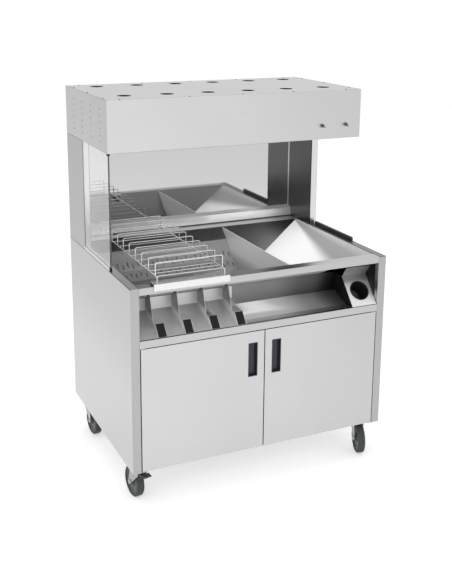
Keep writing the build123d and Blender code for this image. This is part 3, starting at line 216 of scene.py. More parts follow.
def grain_group():
    """Brushed grain: fine streaks along the sheet's long way, with broad clouds from handling."""
    group = bpy.data.node_groups.new("brushed_grain", "ShaderNodeTree")
    face = group.interface
    face.new_socket("Vector", in_out="INPUT", socket_type="NodeSocketVector")
    face.new_socket("Colour", in_out="INPUT", socket_type="NodeSocketColor")
    face.new_socket("Roughness", in_out="INPUT", socket_type="NodeSocketFloat")
    face.new_socket("Grain", in_out="INPUT", socket_type="NodeSocketFloat")
    face.new_socket("Clouds", in_out="INPUT", socket_type="NodeSocketFloat")
    face.new_socket("Colour", in_out="OUTPUT", socket_type="NodeSocketColor")
    face.new_socket("Roughness", in_out="OUTPUT", socket_type="NodeSocketFloat")
    face.new_socket("Normal", in_out="OUTPUT", socket_type="NodeSocketVector")
    given = add_node(group, "NodeGroupInput")
    result = add_node(group, "NodeGroupOutput")
    streak = add_node(group, "ShaderNodeTexNoise", scale=1.0, detail=3.0, roughness=0.6)
    group.links.new(given.outputs["Vector"], streak.inputs["Vector"])
    place = add_node(group, "ShaderNodeTexCoord")
    cloud = add_node(group, "ShaderNodeTexNoise", scale=2.2, detail=4.0, roughness=0.55)
    group.links.new(place.outputs["Object"], cloud.inputs["Vector"])

    def centred(source, amount):
        shift = add_node(group, "ShaderNodeMath", operation="SUBTRACT")
        group.links.new(source.outputs["Fac"], shift.inputs[0])
        shift.inputs[1].default_value = 0.5
        scale = add_node(group, "ShaderNodeMath", operation="MULTIPLY")
        group.links.new(shift.outputs[0], scale.inputs[0])
        group.links.new(given.outputs[amount], scale.inputs[1])
        return scale

    streaks = centred(streak, "Grain")
    clouds = centred(cloud, "Clouds")
    total = add_node(group, "ShaderNodeMath", operation="ADD")
    group.links.new(streaks.outputs[0], total.inputs[0])
    group.links.new(clouds.outputs[0], total.inputs[1])
    bright = add_node(group, "ShaderNodeMath", operation="ADD")
    group.links.new(total.outputs[0], bright.inputs[0])
    bright.inputs[1].default_value = 1.0
    tint = add_node(group, "ShaderNodeVectorMath", operation="SCALE")
    group.links.new(given.outputs["Colour"], tint.inputs[0])
    group.links.new(bright.outputs[0], tint.inputs["Scale"])
    rough = add_node(group, "ShaderNodeMath", operation="ADD")
    group.links.new(given.outputs["Roughness"], rough.inputs[0])
    group.links.new(total.outputs[0], rough.inputs[1])
    bump = add_node(group, "ShaderNodeBump", strength=0.06, distance=0.0004)
    group.links.new(streak.outputs["Fac"], bump.inputs["Height"])
    group.links.new(tint.outputs[0], result.inputs["Colour"])
    group.links.new(rough.outputs[0], result.inputs["Roughness"])
    group.links.new(bump.outputs[0], result.inputs["Normal"])
    return group


brushed_grain = grain_group()
GRAIN_ALONG = {"x": (2, 900, 900), "y": (900, 2, 900), "z": (900, 900, 2)}


def brushed_steel(name, colour, roughness=0.3, along="z", grain=0.10, clouds=0.08, metal=1.0):
    """Brushed stainless with its grain along one axis. Blasted or satin steel scatters more: less metal."""
    paint = bpy.data.materials.new(name)
    tree = new_nodes(paint)
    place = add_node(tree, "ShaderNodeTexCoord")
    stretch = add_node(tree, "ShaderNodeMapping", scale=GRAIN_ALONG[along])
    tree.links.new(place.outputs["Object"], stretch.inputs["Vector"])
    surface = add_node(tree, "ShaderNodeGroup", node_tree=brushed_grain)
    surface.inputs["Colour"].default_value = (*colour, 1)
    surface.inputs["Roughness"].default_value = roughness
    surface.inputs["Grain"].default_value = grain
    surface.inputs["Clouds"].default_value = clouds
    tree.links.new(stretch.outputs[0], surface.inputs["Vector"])
    steel = add_node(tree, "ShaderNodeBsdfPrincipled", metallic=metal)
    tree.links.new(surface.outputs["Colour"], steel.inputs["Base Color"])
    tree.links.new(surface.outputs["Roughness"], steel.inputs["Roughness"])
    tree.links.new(surface.outputs["Normal"], steel.inputs["Normal"])
    output = add_node(tree, "ShaderNodeOutputMaterial")
    tree.links.new(steel.outputs[0], output.inputs["Surface"])
    return paint


def piece_from(bm, name, paint, body, slot, *replaced):
    """Turns a finished bmesh into a piece that rides on a body and stands for the CAD nodes it replaces."""
    mesh = bpy.data.meshes.new(name)
    bm.to_mesh(mesh)
    bm.free()
    mesh.materials.append(paint)
    piece = bpy.data.objects.new(name, mesh)
    bpy.context.scene.collection.objects.link(piece)
    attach(piece, body)
    if replaced:
        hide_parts(*replaced)
    return piece


def slot_of(node):
    for row in frame["record"]["subparts"]:
        if row["node"] == node:
            return row["material_slot"]


def solid_copy(node):
    """The node's solid with its triangles merged into whole faces, and no face where two flats meet."""
    bm = bmesh.new()
    bm.from_mesh(nodes[node].data)
    bmesh.ops.remove_doubles(bm, verts=bm.verts, dist=0.00002)
    bmesh.ops.dissolve_limit(bm, angle_limit=math.radians(0.5), verts=bm.verts, edges=bm.edges)
    buried = [face for face in bm.faces if all(len(edge.link_faces) > 2 for edge in face.edges)
              and face.calc_area() < BROAD_FACE * max(edge.calc_length() for edge in face.edges)]
    bmesh.ops.delete(bm, geom=buried, context="FACES")
    bmesh.ops.dissolve_limit(bm, angle_limit=math.radians(0.5), verts=bm.verts, edges=bm.edges)
    return bm


def level_flats(mesh):
    """Shades each broad flat as flat, and turns only the folds beside it."""
    turned = [Vector(corner.vector) for corner in mesh.corner_normals]
    length = {}
    for edge in mesh.edges:
        start, end = (mesh.vertices[i].co for i in edge.vertices)
        length[edge.key] = (end - start).length
    beside = {}
    for face in mesh.polygons:
        longest = max(length[key] for key in face.edge_keys)
        if face.area > BROAD_FACE * longest:
            for loop in face.loop_indices:
                turned[loop] = face.normal.copy()
            for key in face.edge_keys:
                beside.setdefault(key, []).append(face)
    broad = {face.index for flats in beside.values() for face in flats}
    for face in mesh.polygons:
        if face.index in broad:
            continue
        for key in face.edge_keys:
            for flat in beside.get(key, ()):
                if flat.normal.dot(face.normal) > 0.85:
                    for loop in face.loop_indices:
                        if mesh.loops[loop].vertex_index in key:
                            turned[loop] = flat.normal.copy()
    mesh.normals_split_custom_set(turned)


def folded(node, paint, fold=FOLD_RADIUS, cut=CUT_EDGE):
    """A folded sheet: round outer and inner folds, a light break on every cut edge, and level shading
    on its flats."""
    bm = solid_copy(node)

    def broad(edge):
        widths = [face.calc_area() / edge.calc_length() for face in edge.link_faces]
        return len(widths) == 2 and min(widths) > BROAD_FACE

    def sharp(edge):
        return len(edge.link_faces) == 2 and edge.calc_face_angle(0) > math.radians(25)

    outer = [e for e in bm.edges if sharp(e) and broad(e) and e.is_convex]
    inner = [e for e in bm.edges if sharp(e) and broad(e) and not e.is_convex]
    others = [e for e in bm.edges if sharp(e) and not broad(e)]
    for edges, radius, steps in ((others, cut, 1), (outer, fold, 4), (inner, INNER_FOLD_RADIUS, 2)):
        live = [e for e in edges if e.is_valid]
        if live and radius:
            bmesh.ops.bevel(
                bm, geom=live, offset=radius, offset_type="OFFSET", affect="EDGES",
                segments=steps, profile=0.5, material=-1, clamp_overlap=True,
            )
    bmesh.ops.dissolve_degenerate(bm, dist=0.000002, edges=bm.edges)
    for face in bm.faces:
        face.smooth = True
    piece = piece_from(bm, node + "_sheet", paint, nodes[node]["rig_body"], slot_of(node), node)
    piece.data.set_sharp_from_angle(angle=math.radians(32))
    level_flats(piece.data)
    return piece


def shaded(paint, stops, start, axis=None, reach=1.0):
    """Multiplies a sheet's colour by levels along an axis, or round a corner where no axis is given:
    painted light and shade that stand for the broad soft reflections of a flat."""
    tree = paint.node_tree
    steel = next(n for n in tree.nodes if n.type == "BSDF_PRINCIPLED")
    before = steel.inputs["Base Color"].links[0].from_socket
    place = add_node(tree, "ShaderNodeTexCoord")
    offset = add_node(tree, "ShaderNodeVectorMath", operation="SUBTRACT")
    offset.inputs[0].default_value = start
    tree.links.new(place.outputs["Object"], offset.inputs[1])
    split = add_node(tree, "ShaderNodeSeparateXYZ")
    tree.links.new(offset.outputs[0], split.inputs[0])
    scale = add_node(tree, "ShaderNodeMath", operation="MULTIPLY")
    if axis:
        tree.links.new(split.outputs[axis.upper()], scale.inputs[0])
        scale.inputs[1].default_value = -1 / reach
    else:
        bearing = add_node(tree, "ShaderNodeMath", operation="ARCTAN2")
        tree.links.new(split.outputs["X"], bearing.inputs[0])
        tree.links.new(split.outputs["Y"], bearing.inputs[1])
        tree.links.new(bearing.outputs[0], scale.inputs[0])
        scale.inputs[1].default_value = 2 / math.pi
    tone = add_node(tree, "ShaderNodeValToRGB")
    tone.color_ramp.interpolation = "EASE"
    tone.color_ramp.elements[0].position, tone.color_ramp.elements[1].position = stops[0][0], stops[-1][0]
    for position, _ in stops[1:-1]:
        tone.color_ramp.elements.new(position)
    for element, (_, level) in zip(tone.color_ramp.elements, stops):
        element.color = (level, level, level, 1)
    tree.links.new(scale.outputs[0], tone.inputs[0])
    mix = add_node(tree, "ShaderNodeMix", data_type="RGBA", blend_type="MULTIPLY")
    mix.inputs["Factor"].default_value = 1.0
    tree.links.new(before, mix.inputs[6])
    tree.links.new(tone.outputs[0], mix.inputs[7])
    tree.links.new(mix.outputs[2], steel.inputs["Base Color"])


def tinted_where(paint, colour, *limits):
    """Mixes another colour in where every limit holds: each is an axis, a side and a place in metres."""
    tree = paint.node_tree
    steel = next(n for n in tree.nodes if n.type == "BSDF_PRINCIPLED")
    before = steel.inputs["Base Color"].links[0].from_socket
    place = add_node(tree, "ShaderNodeTexCoord")
    split = add_node(tree, "ShaderNodeSeparateXYZ")
    tree.links.new(place.outputs["Object"], split.inputs[0])
    mask = None
    for axis, side, limit in limits:
        source = split.outputs[axis[-1].upper()]
        if axis.startswith("|"):
            size = add_node(tree, "ShaderNodeMath", operation="ABSOLUTE")
            tree.links.new(source, size.inputs[0])
            source = size.outputs[0]
        test = add_node(tree, "ShaderNodeMath", operation="GREATER_THAN" if side == ">" else "LESS_THAN")
        tree.links.new(source, test.inputs[0])
        test.inputs[1].default_value = limit
        if mask is None:
            mask = test.outputs[0]
        else:
            both = add_node(tree, "ShaderNodeMath", operation="MULTIPLY")
            tree.links.new(mask, both.inputs[0])
            tree.links.new(test.outputs[0], both.inputs[1])
            mask = both.outputs[0]
    mix = add_node(tree, "ShaderNodeMix", data_type="RGBA")
    tree.links.new(mask, mix.inputs["Factor"])
    tree.links.new(before, mix.inputs[6])
    mix.inputs[7].default_value = (*colour, 1)
    tree.links.new(mix.outputs[2], steel.inputs["Base Color"])


POST_INNER = 0.5155
POST_FACE = -0.3975
RIM_LEVEL = 0.8895

side_steel = brushed_steel("side_steel", SIDE_COLOUR, 0.32, "z")
# The sides are painted a little darker towards the top: painted shade.
shaded(side_steel, [(0.0, 1.0), (0.35, 1.0), (0.85, 0.86), (1.0, 0.84)], (0, 0, 0.15), "z", 0.75)
# The posts' fronts are painted darker than the doors beside them: painted shade.
tinted_where(side_steel, POST_PAINTED_SHADE, ("|x", ">", POST_INNER), ("y", "<", POST_FACE))
# The top flange is painted near white: painted light on the rim.
tinted_where(side_steel, RIM_PAINTED_LIGHT, ("z", ">", RIM_LEVEL))
# Painted shadow lines: along the rim's outer fold, and along its inner edge where it meets the well.
tinted_where(side_steel, RIM_SHADE_LINE, ("z", ">", 0.8868), ("|x", ">", 0.5480))
tinted_where(side_steel, RIM_SHADE_LINE, ("z", ">", RIM_LEVEL), ("|x", "<", 0.5185))
# The right side's rim is painted darker: painted shade.
tinted_where(side_steel, (0.20, 0.20, 0.20), ("z", ">", 0.8868), ("x", ">", 0))
for side in ("left_side_panel", "right_side_panel"):
    folded(side, side_steel)
inner_steel = brushed_steel("inner_steel", (0.62, 0.62, 0.62), 0.42, "x", metal=0.6)
for inner_sheet in ("cabinet_back", "bottom_panel", "storage_shelf", "upper_back_panel"):
    folded(inner_sheet, inner_steel)


# Worktop strips and the lip under the open bay: bright folded sheet, screwed between the side posts.
worktop_steel = brushed_steel("worktop_steel", (0.50, 0.50, 0.50), 0.30, "x")
folded("worktop_strips", worktop_steel)
lip_steel = brushed_steel("lip_steel", (0.50, 0.50, 0.50), 0.30, "x")
folded("lip_rail", lip_steel)


# Well: one pressed hopper with a ramp on the right, a slotted crumb screen on its back wall, and a loose
# divider. Its walls are a smoother sheet, and their colour is painted dark: painted shade under the hood.
well_steel_painted_shade = brushed_steel("well_steel_painted_shade", (0.26, 0.26, 0.26), 0.30, "x", grain=0.06, clouds=0.06)
well_piece = folded("well_hopper", well_steel_painted_shade, fold=0.0015)
ramp_painted_highlight = brushed_steel("ramp_painted_highlight", (1.0, 1.0, 1.0), 0.42, "x", grain=0.05, clouds=0.04, metal=0.1)


# The ramp is painted near white, with a fan of painted highlight and shade round its rear right corner.
shaded(ramp_painted_highlight, [(0.0, 0.50), (0.05, 0.36), (0.10, 0.36), (0.19, 0.98), (0.60, 0.98), (0.85, 0.40)], (0.507, 0.296, 0))


def finish_or_painted_light_faces(piece, paint, facing, tilt=0.9):
    """Gives the flats of a sheet that face the given way another material: an own finish, or painted light and shade on
    that side.
    """
    piece.data.materials.append(paint)
    for face in piece.data.polygons:
        if face.normal.dot(Vector(facing).normalized()) > tilt:
            face.material_index = len(piece.data.materials) - 1


finish_or_painted_light_faces(well_piece, ramp_painted_highlight, (-0.43, 0, 0.9), 0.97)
well_outside = brushed_steel("well_outside", (0.80, 0.80, 0.80), 0.45, "x", metal=0.2)
finish_or_painted_light_faces(well_piece, well_outside, (0, -0.7, -0.7), 0.7)
screen_steel = brushed_steel("screen_steel", (0.55, 0.55, 0.55), 0.38, "x", grain=0.05, metal=0.75)
folded("slotted_screen", screen_steel, fold=0.001)
divider_steel = brushed_steel("divider_steel", (0.96, 0.96, 0.96), 0.36, "y", grain=0.05, metal=0.4)
# The divider is painted bright, and darker towards its foot: painted light and shade.
shaded(divider_steel, [(0.0, 0.55), (0.45, 1.0), (1.0, 1.0)], (0, 0, 0.76), "z", 0.128)
folded("divider", divider_steel, fold=0.001)


# Open bay: a trough bent from one sheet, a carton rack with fins and hollow boots, and a slanted panel
# that holds the shaker's cup. The boots have black fronts.
# The trough is painted in two tones: its floor light for painted light, the rest dark for painted shade.
bay_steel_painted_shade = brushed_steel("bay_steel_painted_shade", (0.21, 0.21, 0.21), 0.34, "x", grain=0.06)
bay_floor_light_and_shade = brushed_steel("bay_floor_light_and_shade", (0.90, 0.90, 0.90), 0.38, "x", grain=0.06, metal=0.7)
# Both darken towards the right: painted shade.
for paint in (bay_steel_painted_shade, bay_floor_light_and_shade):
    shaded(paint, [(0.0, 1.0), (0.40, 0.90), (0.70, 0.42), (0.92, 0.14)], (-0.15, 0, 0), "x", 0.6)
trough = folded("bay_trough", bay_steel_painted_shade)
finish_or_painted_light_faces(trough, bay_floor_light_and_shade, (0, -0.2, 1))
rack_steel = brushed_steel("rack_steel", (0.66, 0.66, 0.66), 0.42, "z", grain=0.06, metal=0.8)
carton_piece = folded("carton_rack", rack_steel, fold=0.001)
# The rack's left-facing faces are painted light low down and dark higher up: painted light and shade.
fin_light_and_shade = brushed_steel("fin_light_and_shade", (0.95, 0.95, 0.95), 0.40, "z", grain=0.06, metal=0.5)
shaded(fin_light_and_shade, [(0.0, 1.0), (0.30, 0.95), (0.65, 0.30), (1.0, 0.22)], (0, 0, 0.705), "z", 0.10)
finish_or_painted_light_faces(carton_piece, fin_light_and_shade, (-1, 0, 0))
shaker_steel = brushed_steel("shaker_steel", (0.86, 0.86, 0.86), 0.42, "x", grain=0.06, metal=0.7)
# The shaker panel is painted darker on its upper part: painted shade.
shaded(shaker_steel, [(0.0, 1.0), (0.45, 0.95), (0.55, 0.50), (1.0, 0.60)], (0, 0, 0.69), "z", 0.16)
shaker_piece = folded("shaker_panel", shaker_steel)
# The panel's left-facing faces are painted near black: painted shade.
finish_or_painted_light_faces(shaker_piece, brushed_steel("shaker_painted_shade", (0.10, 0.10, 0.10), 0.40, "z"), (-1, 0, 0))


def moulded(name, colour, roughness, speckle=0.08, grain_size=900, depth=0.00008, shine=0.5):
    """Moulded plastic or rubber: a fine pebble in the surface and slightly uneven gloss."""
    paint = bpy.data.materials.new(name)
    tree = new_nodes(paint)
    place = add_node(tree, "ShaderNodeTexCoord")
    pebble = add_node(tree, "ShaderNodeTexNoise", scale=grain_size, detail=2.0)
    tree.links.new(place.outputs["Object"], pebble.inputs["Vector"])
    wear = add_node(tree, "ShaderNodeTexNoise", scale=14.0, detail=5.0, roughness=0.6)
    tree.links.new(place.outputs["Object"], wear.inputs["Vector"])
    tone = add_node(tree, "ShaderNodeMapRange")
    tree.links.new(wear.outputs["Fac"], tone.inputs["Value"])
    tone.inputs["To Min"].default_value = 1 - 2 * speckle
    tone.inputs["To Max"].default_value = 1 + 4 * speckle
    tint = add_node(tree, "ShaderNodeVectorMath", operation="SCALE")
    tint.inputs[0].default_value = colour
    tree.links.new(tone.outputs[0], tint.inputs["Scale"])
    gloss = add_node(tree, "ShaderNodeMapRange")
    tree.links.new(wear.outputs["Fac"], gloss.inputs["Value"])
    gloss.inputs["To Min"].default_value = roughness - 0.08
    gloss.inputs["To Max"].default_value = roughness + 0.08
    bump = add_node(tree, "ShaderNodeBump", strength=0.5, distance=depth)
    tree.links.new(pebble.outputs["Fac"], bump.inputs["Height"])
    body = add_node(tree, "ShaderNodeBsdfPrincipled")
    body.inputs["Specular IOR Level"].default_value = shine
    tree.links.new(tint.outputs[0], body.inputs["Base Color"])
    tree.links.new(gloss.outputs[0], body.inputs["Roughness"])
    tree.links.new(bump.outputs[0], body.inputs["Normal"])
    output = add_node(tree, "ShaderNodeOutputMaterial")
    tree.links.new(body.outputs[0], output.inputs["Surface"])
    return paint


black_moulding = moulded("black_moulding", (0.010, 0.010, 0.011), 0.34, shine=0.2)
folded("boot_fronts", black_moulding, fold=0.0005, cut=0.0004)


def lathed(bm, outline, steps=48):
    """Spins an outline of (radius, height) points round the Z axis into a closed skin."""
    verts = [bm.verts.new((r, 0, z)) for r, z in outline]
    edges = [bm.edges.new(pair) for pair in zip(verts, verts[1:])]
    bmesh.ops.spin(
        bm, geom=verts + edges, cent=(0, 0, 0), axis=(0, 0, 1), dvec=(0, 0, 0),
        angle=2 * math.pi, steps=steps, use_merge=True, use_duplicate=False,
    )
    bmesh.ops.remove_doubles(bm, verts=bm.verts, dist=0.000005)
    bmesh.ops.dissolve_degenerate(bm, dist=0.000001, edges=bm.edges)
    bmesh.ops.recalc_face_normals(bm, faces=bm.faces)
    for face in bm.faces:
        face.smooth = True


def towards(place, direction):
    """A placement that turns the Z axis to a direction and moves the start to a place."""
    turn = Vector(direction).to_track_quat("Z", "Y").to_matrix().to_4x4()
    return Matrix.Translation(Vector(place)) @ turn


def joint_named(name):
    return next(j for j in frame["joints"] if j["name"] == name)


CUP_RADIUS = 0.040
CUP_RIM = 0.0425
CUP_BORE = 0.038
CUP_LENGTH = 0.080
CUP_FLOOR = 0.002
CUP_LIP = 0.0024

cup_mount = next(m for m in frame["record"]["mounts"] if m["name"] == "shaker_holder")
cup_axis = Vector(cup_mount["axis"]).normalized()
cup_mouth = Vector(cup_mount["pos_m"]) + cup_axis * 0.038
bm = bmesh.new()
lathed(bm, [
    (0, -CUP_LENGTH), (CUP_RADIUS - 0.004, -CUP_LENGTH), (CUP_RADIUS - 0.001, -CUP_LENGTH + 0.001),
    (CUP_RADIUS, -CUP_LENGTH + 0.004), (CUP_RADIUS, 0.0004), (CUP_RIM - 0.0004, 0.0004), (CUP_RIM, 0.0010),
    (CUP_RIM - 0.0005, CUP_LIP - 0.0002), (CUP_RIM - 0.0013, CUP_LIP), (CUP_BORE + 0.0012, CUP_LIP),
    (CUP_BORE + 0.0002, CUP_LIP - 0.0008), (CUP_BORE, 0), (CUP_BORE, -CUP_LENGTH + 0.006),
    (CUP_BORE - 0.0035, -CUP_LENGTH + CUP_FLOOR), (0, -CUP_LENGTH + CUP_FLOOR),
], 64)
bm.transform(towards(cup_mouth, cup_axis))
piece_from(bm, "shaker_holder_cup", moulded("cup_black", (0.012, 0.012, 0.013), 0.42), "shaker_cup",
           "black_plastic", "shaker_cup")


# Upper works: two square columns, a sloping ledge, and a mirror-polished panel that shows the food twice.
column_steel = brushed_steel("column_steel", (0.68, 0.68, 0.68), 0.30, "z")
# The columns' outer sides are painted darker: painted shade.
tinted_where(column_steel, (0.37, 0.37, 0.37), ("|x", ">", 0.5490))
# Their inner sides are painted dark: painted shade.
tinted_where(column_steel, (0.15, 0.15, 0.15), ("|x", "<", 0.5185))
# A painted shadow line runs in front of the inner sides' front fold.
tinted_where(column_steel, (0.03, 0.03, 0.03), ("|x", "<", 0.5200), ("y", "<", 0.1760))
# A painted highlight strip runs where the inner sides meet the mirror.
tinted_where(column_steel, (0.90, 0.90, 0.90), ("|x", "<", 0.5185), ("y", ">", 0.3800))
for column in ("left_column", "right_column"):
    folded(column, column_steel)
ledge_steel = brushed_steel("ledge_steel", (0.95, 0.95, 0.95), 0.30, "x", metal=0.75)
# The ledge's foot is painted near black: painted shade where it meets the rim.
tinted_where(ledge_steel, (0.10, 0.10, 0.10), ("z", "<", 0.8945))
folded("rear_ledge", ledge_steel)


def polished(name, colour, roughness, dust=0.02, metal=1.0):
    """Mirror polish or bright plating, faintly clouded by wiping. Satin plating scatters more: less metal."""
    paint = bpy.data.materials.new(name)
    tree = new_nodes(paint)
    place = add_node(tree, "ShaderNodeTexCoord")
    wipe = add_node(tree, "ShaderNodeTexNoise", scale=5.0, detail=6.0, roughness=0.6)
    tree.links.new(place.outputs["Object"], wipe.inputs["Vector"])
    gloss = add_node(tree, "ShaderNodeMapRange")
    tree.links.new(wipe.outputs["Fac"], gloss.inputs["Value"])
    gloss.inputs["To Min"].default_value = max(0.0, roughness - dust)
    gloss.inputs["To Max"].default_value = roughness + dust
    steel = add_node(tree, "ShaderNodeBsdfPrincipled", metallic=metal)
    steel.inputs["Base Color"].default_value = (*colour, 1)
    tree.links.new(gloss.outputs[0], steel.inputs["Roughness"])
    output = add_node(tree, "ShaderNodeOutputMaterial")
    tree.links.new(steel.outputs[0], output.inputs["Surface"])
    return paint


folded("mirror_panel", polished("mirror_polish", (0.57, 0.57, 0.57), 0.03, 0.012), fold=0.0004)


# Glass side screen: toughened pane with ground edges, in a folded channel, with a black end cap at its
# foot and a black clip under the hood.
glass_paint = bpy.data.materials.new("clear_glass")
tree = new_nodes(glass_paint)
glass_shader = add_node(tree, "ShaderNodeBsdfPrincipled", metallic=0.0, roughness=0.0)
glass_shader.inputs["IOR"].default_value = 1.45
glass_shader.inputs["Base Color"].default_value = (0.99, 0.99, 0.99, 1)
glass_shader.inputs["Transmission Weight"].default_value = 1.0
glass_output = add_node(tree, "ShaderNodeOutputMaterial")
tree.links.new(glass_shader.outputs[0], glass_output.inputs["Surface"])
glass_edge = moulded("ground_glass_edge", (0.10, 0.11, 0.11), 0.30, 0.03)

bm = solid_copy("side_glass")
bmesh.ops.bevel(bm, geom=list(bm.edges), offset=0.0005, offset_type="OFFSET", affect="EDGES", segments=1,
                profile=0.5, material=-1, clamp_overlap=True)
glass = piece_from(bm, "side_glass_pane", glass_paint, "cabinet", "glass", "side_glass")
glass.data.materials.append(glass_edge)
for face in glass.data.polygons:
    if abs(face.normal.x) < 0.9:
        face.material_index = 1
folded("glass_channel", brushed_steel("channel_steel", (0.55, 0.55, 0.55), 0.28, "y"), fold=0.0008)
folded("glass_caps", black_moulding, fold=0.0012)


# Knock bar: a solid black bar on the right rim, where a scoop is tapped clean.
folded("knock_bar", moulded("bar_black", (0.03, 0.03, 0.032), 0.30), fold=0.0022, cut=0.0018)


# Hood: a deep folded casing with a separate screwed top. The top has openings over the heaters, and the
# sides have rows of small vents.
hood_steel = brushed_steel("hood_steel", (0.66, 0.66, 0.66), 0.30, "x", clouds=0.12)
# The hood is painted a little darker towards the right: painted shade.
shaded(hood_steel, [(0.0, 1.0), (0.3, 0.97), (1.0, 0.88)], (-0.55, 0, 0), "x", 1.1)
# Its sides are painted darker than its front: painted shade.
tinted_where(hood_steel, (0.46, 0.46, 0.46), ("|x", ">", 0.5496))
# Its inside is painted dark: painted shade under the hood.
tinted_where(hood_steel, (0.20, 0.20, 0.20), ("|x", "<", 0.5496), ("y", ">", -0.1638), ("y", "<", 0.3988))
folded("hood_shell", hood_steel)
hood_top_steel = brushed_steel("hood_top_steel", (0.50, 0.50, 0.50), 0.30, "x", clouds=0.14)
# The top's side and front edges are painted near black: painted shade along its folded edges.
tinted_where(hood_top_steel, (0.06, 0.06, 0.06), ("|x", ">", 0.5458))
tinted_where(hood_top_steel, (0.06, 0.06, 0.06), ("y", "<", -0.1608))
folded("hood_top", hood_top_steel)

SCREW_RADIUS = 0.0035
SCREW_HEIGHT = 0.0016
screw_bm = bmesh.new()
screw_copy = solid_copy("hood_screws")
waiting = set(screw_copy.verts)
screw_places = []
while waiting:
    edge = [waiting.pop()]
    island = list(edge)
    while edge:
        for link in edge.pop().link_edges:
            for vert in link.verts:
                if vert in waiting:
                    waiting.remove(vert)
                    island.append(vert)
                    edge.append(vert)
    middle = sum((v.co for v in island), Vector()) / len(island)
    screw_places.append(Vector((middle.x, middle.y, min(v.co.z for v in island))))
screw_copy.free()
for place in screw_places:
    head = bmesh.new()
    lathed(head, [
        (SCREW_RADIUS, 0), (SCREW_RADIUS, SCREW_HEIGHT * 0.35), (SCREW_RADIUS * 0.85, SCREW_HEIGHT * 0.75),
        (SCREW_RADIUS * 0.5, SCREW_HEIGHT), (SCREW_RADIUS * 0.3, SCREW_HEIGHT),
        (SCREW_RADIUS * 0.28, SCREW_HEIGHT * 0.4), (0, SCREW_HEIGHT * 0.4),
    ], 16)
    head.transform(Matrix.Translation(place))
    head_mesh = bpy.data.meshes.new("screw")
    head.to_mesh(head_mesh)
    head.free()
    screw_bm.from_mesh(head_mesh)
    bpy.data.meshes.remove(head_mesh)
piece_from(screw_bm, "hood_screw_heads", polished("screw_steel", (0.10, 0.10, 0.10), 0.25), "cabinet",
           "screw_steel", "hood_screws")


# Heaters under the hood: a pan with two long openings, bright troughs over them, and frosted quartz
# tubes held in ceramic blocks.
folded("hood_pan", brushed_steel("pan_steel", (0.40, 0.40, 0.40), 0.45, "x", metal=0.7))
folded("heater_reflectors", polished("reflector_bright", (0.45, 0.45, 0.44), 0.25), fold=0.001)
quartz = moulded("frosted_quartz", (0.62, 0.58, 0.52), 0.22, 0.03)
tubes = solid_copy("heater_tubes")
for face in tubes.faces:
    face.smooth = True
tube_piece = piece_from(tubes, "quartz_tubes", quartz, "cabinet", "quartz", "heater_tubes")
tube_piece.data.set_sharp_from_angle(angle=math.radians(40))
folded("tube_holders", moulded("white_ceramic", (0.70, 0.68, 0.64), 0.38, 0.03), fold=0.001, cut=0.0006)


# Two toggle switches: threaded bush and nut through the hood's front, with a bat lever in each.
chrome = polished("chrome_plate", (0.24, 0.24, 0.25), 0.10)
folded("toggle_switches", chrome, fold=0.0003, cut=0.0003)
BALL_RADIUS = 0.0036
LEVER_LENGTH = 0.020
LEVER_ROOT = 0.00165
LEVER_TIP = 0.0030
LEVER_TILT = math.radians(12)
for lever in ("left_toggle", "right_toggle"):
    pivot = joint_named(lever + "_rock")["pos_m"]
    bm = bmesh.new()
    outline = [(0, -BALL_RADIUS)]
    for step in range(1, 9):
        angle = math.radians(-90 + 18 * step)
        outline.append((BALL_RADIUS * math.cos(angle), BALL_RADIUS * math.sin(angle)))
    outline.append((LEVER_ROOT, BALL_RADIUS * 0.95))
    outline.append((LEVER_TIP, LEVER_LENGTH))
    for step in range(1, 6):
        angle = math.radians(18 * step)
        outline.append((LEVER_TIP * math.cos(angle), LEVER_LENGTH + LEVER_TIP * math.sin(angle)))
    lathed(bm, outline, 24)
    bm.transform(towards(pivot, (0, -math.cos(LEVER_TILT), -math.sin(LEVER_TILT))))
    piece_from(bm, lever + "_bat", chrome, lever, "chrome", lever)


# Doors: double-skinned, flush between the posts, on pivot pins. Each has a black recessed pull.
door_steel = brushed_steel("door_steel", (0.59, 0.59, 0.59), 0.36, "x", clouds=0.12)
door_low, door_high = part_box("right_door_skin")
# The doors are painted a little darker towards the right: painted shade.
shaded(door_steel, [(0.0, 1.0), (0.5, 0.97), (1.0, 0.90)], (-0.55, 0, 0), "x", 1.1)
# The doors' edges are painted dark: painted shade in the gaps round them.
DOOR_GAP_SHADE = (0.12, 0.12, 0.12)
tinted_where(door_steel, DOOR_GAP_SHADE, ("|x", "<", 0.0019))
tinted_where(door_steel, DOOR_GAP_SHADE, ("|x", ">", door_high.x - 0.0004))
tinted_where(door_steel, DOOR_GAP_SHADE, ("z", ">", door_high.z - 0.0004))
pull_black = moulded("pull_black", (0.010, 0.013, 0.024), 0.28)
for side in ("left", "right"):
    folded(side + "_door_skin", door_steel)
    folded(side + "_door_liner", inner_steel)
    folded(side + "_pull", pull_black, fold=0.0010, cut=0.0003)
zinc = brushed_steel("zinc_plate", (0.50, 0.51, 0.52), 0.34, "z", grain=0.04, clouds=0.25)
folded("hinge_brackets", zinc, fold=0.0006)
folded("magnet_catches", black_moulding, fold=0.0012)


# Wire rack: bright round wire, two side rails with their legs bent down, cross wires under them, and a
# row of hoops that keep the cartons apart. It stands on a folded bracket and lifts off.
WIRE = 0.002
CROSS_WIRE = 0.0018
WIRE_BEND = 0.007
HOOP_FIRST = -0.356
HOOP_PITCH = 0.0733
HOOP_COUNT = 10
RAIL_LEVEL = 0.9175
CROSS_LEVEL = RAIL_LEVEL - 0.00385
HOOP_RISE = 0.048
FRONT_FOOT = (-0.375, 0.8989)
REAR_FOOT = (0.328, 0.8904)

rack_low, rack_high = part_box("wire_rack")
rack_left = rack_low.x + WIRE
rack_right = rack_high.x - WIRE


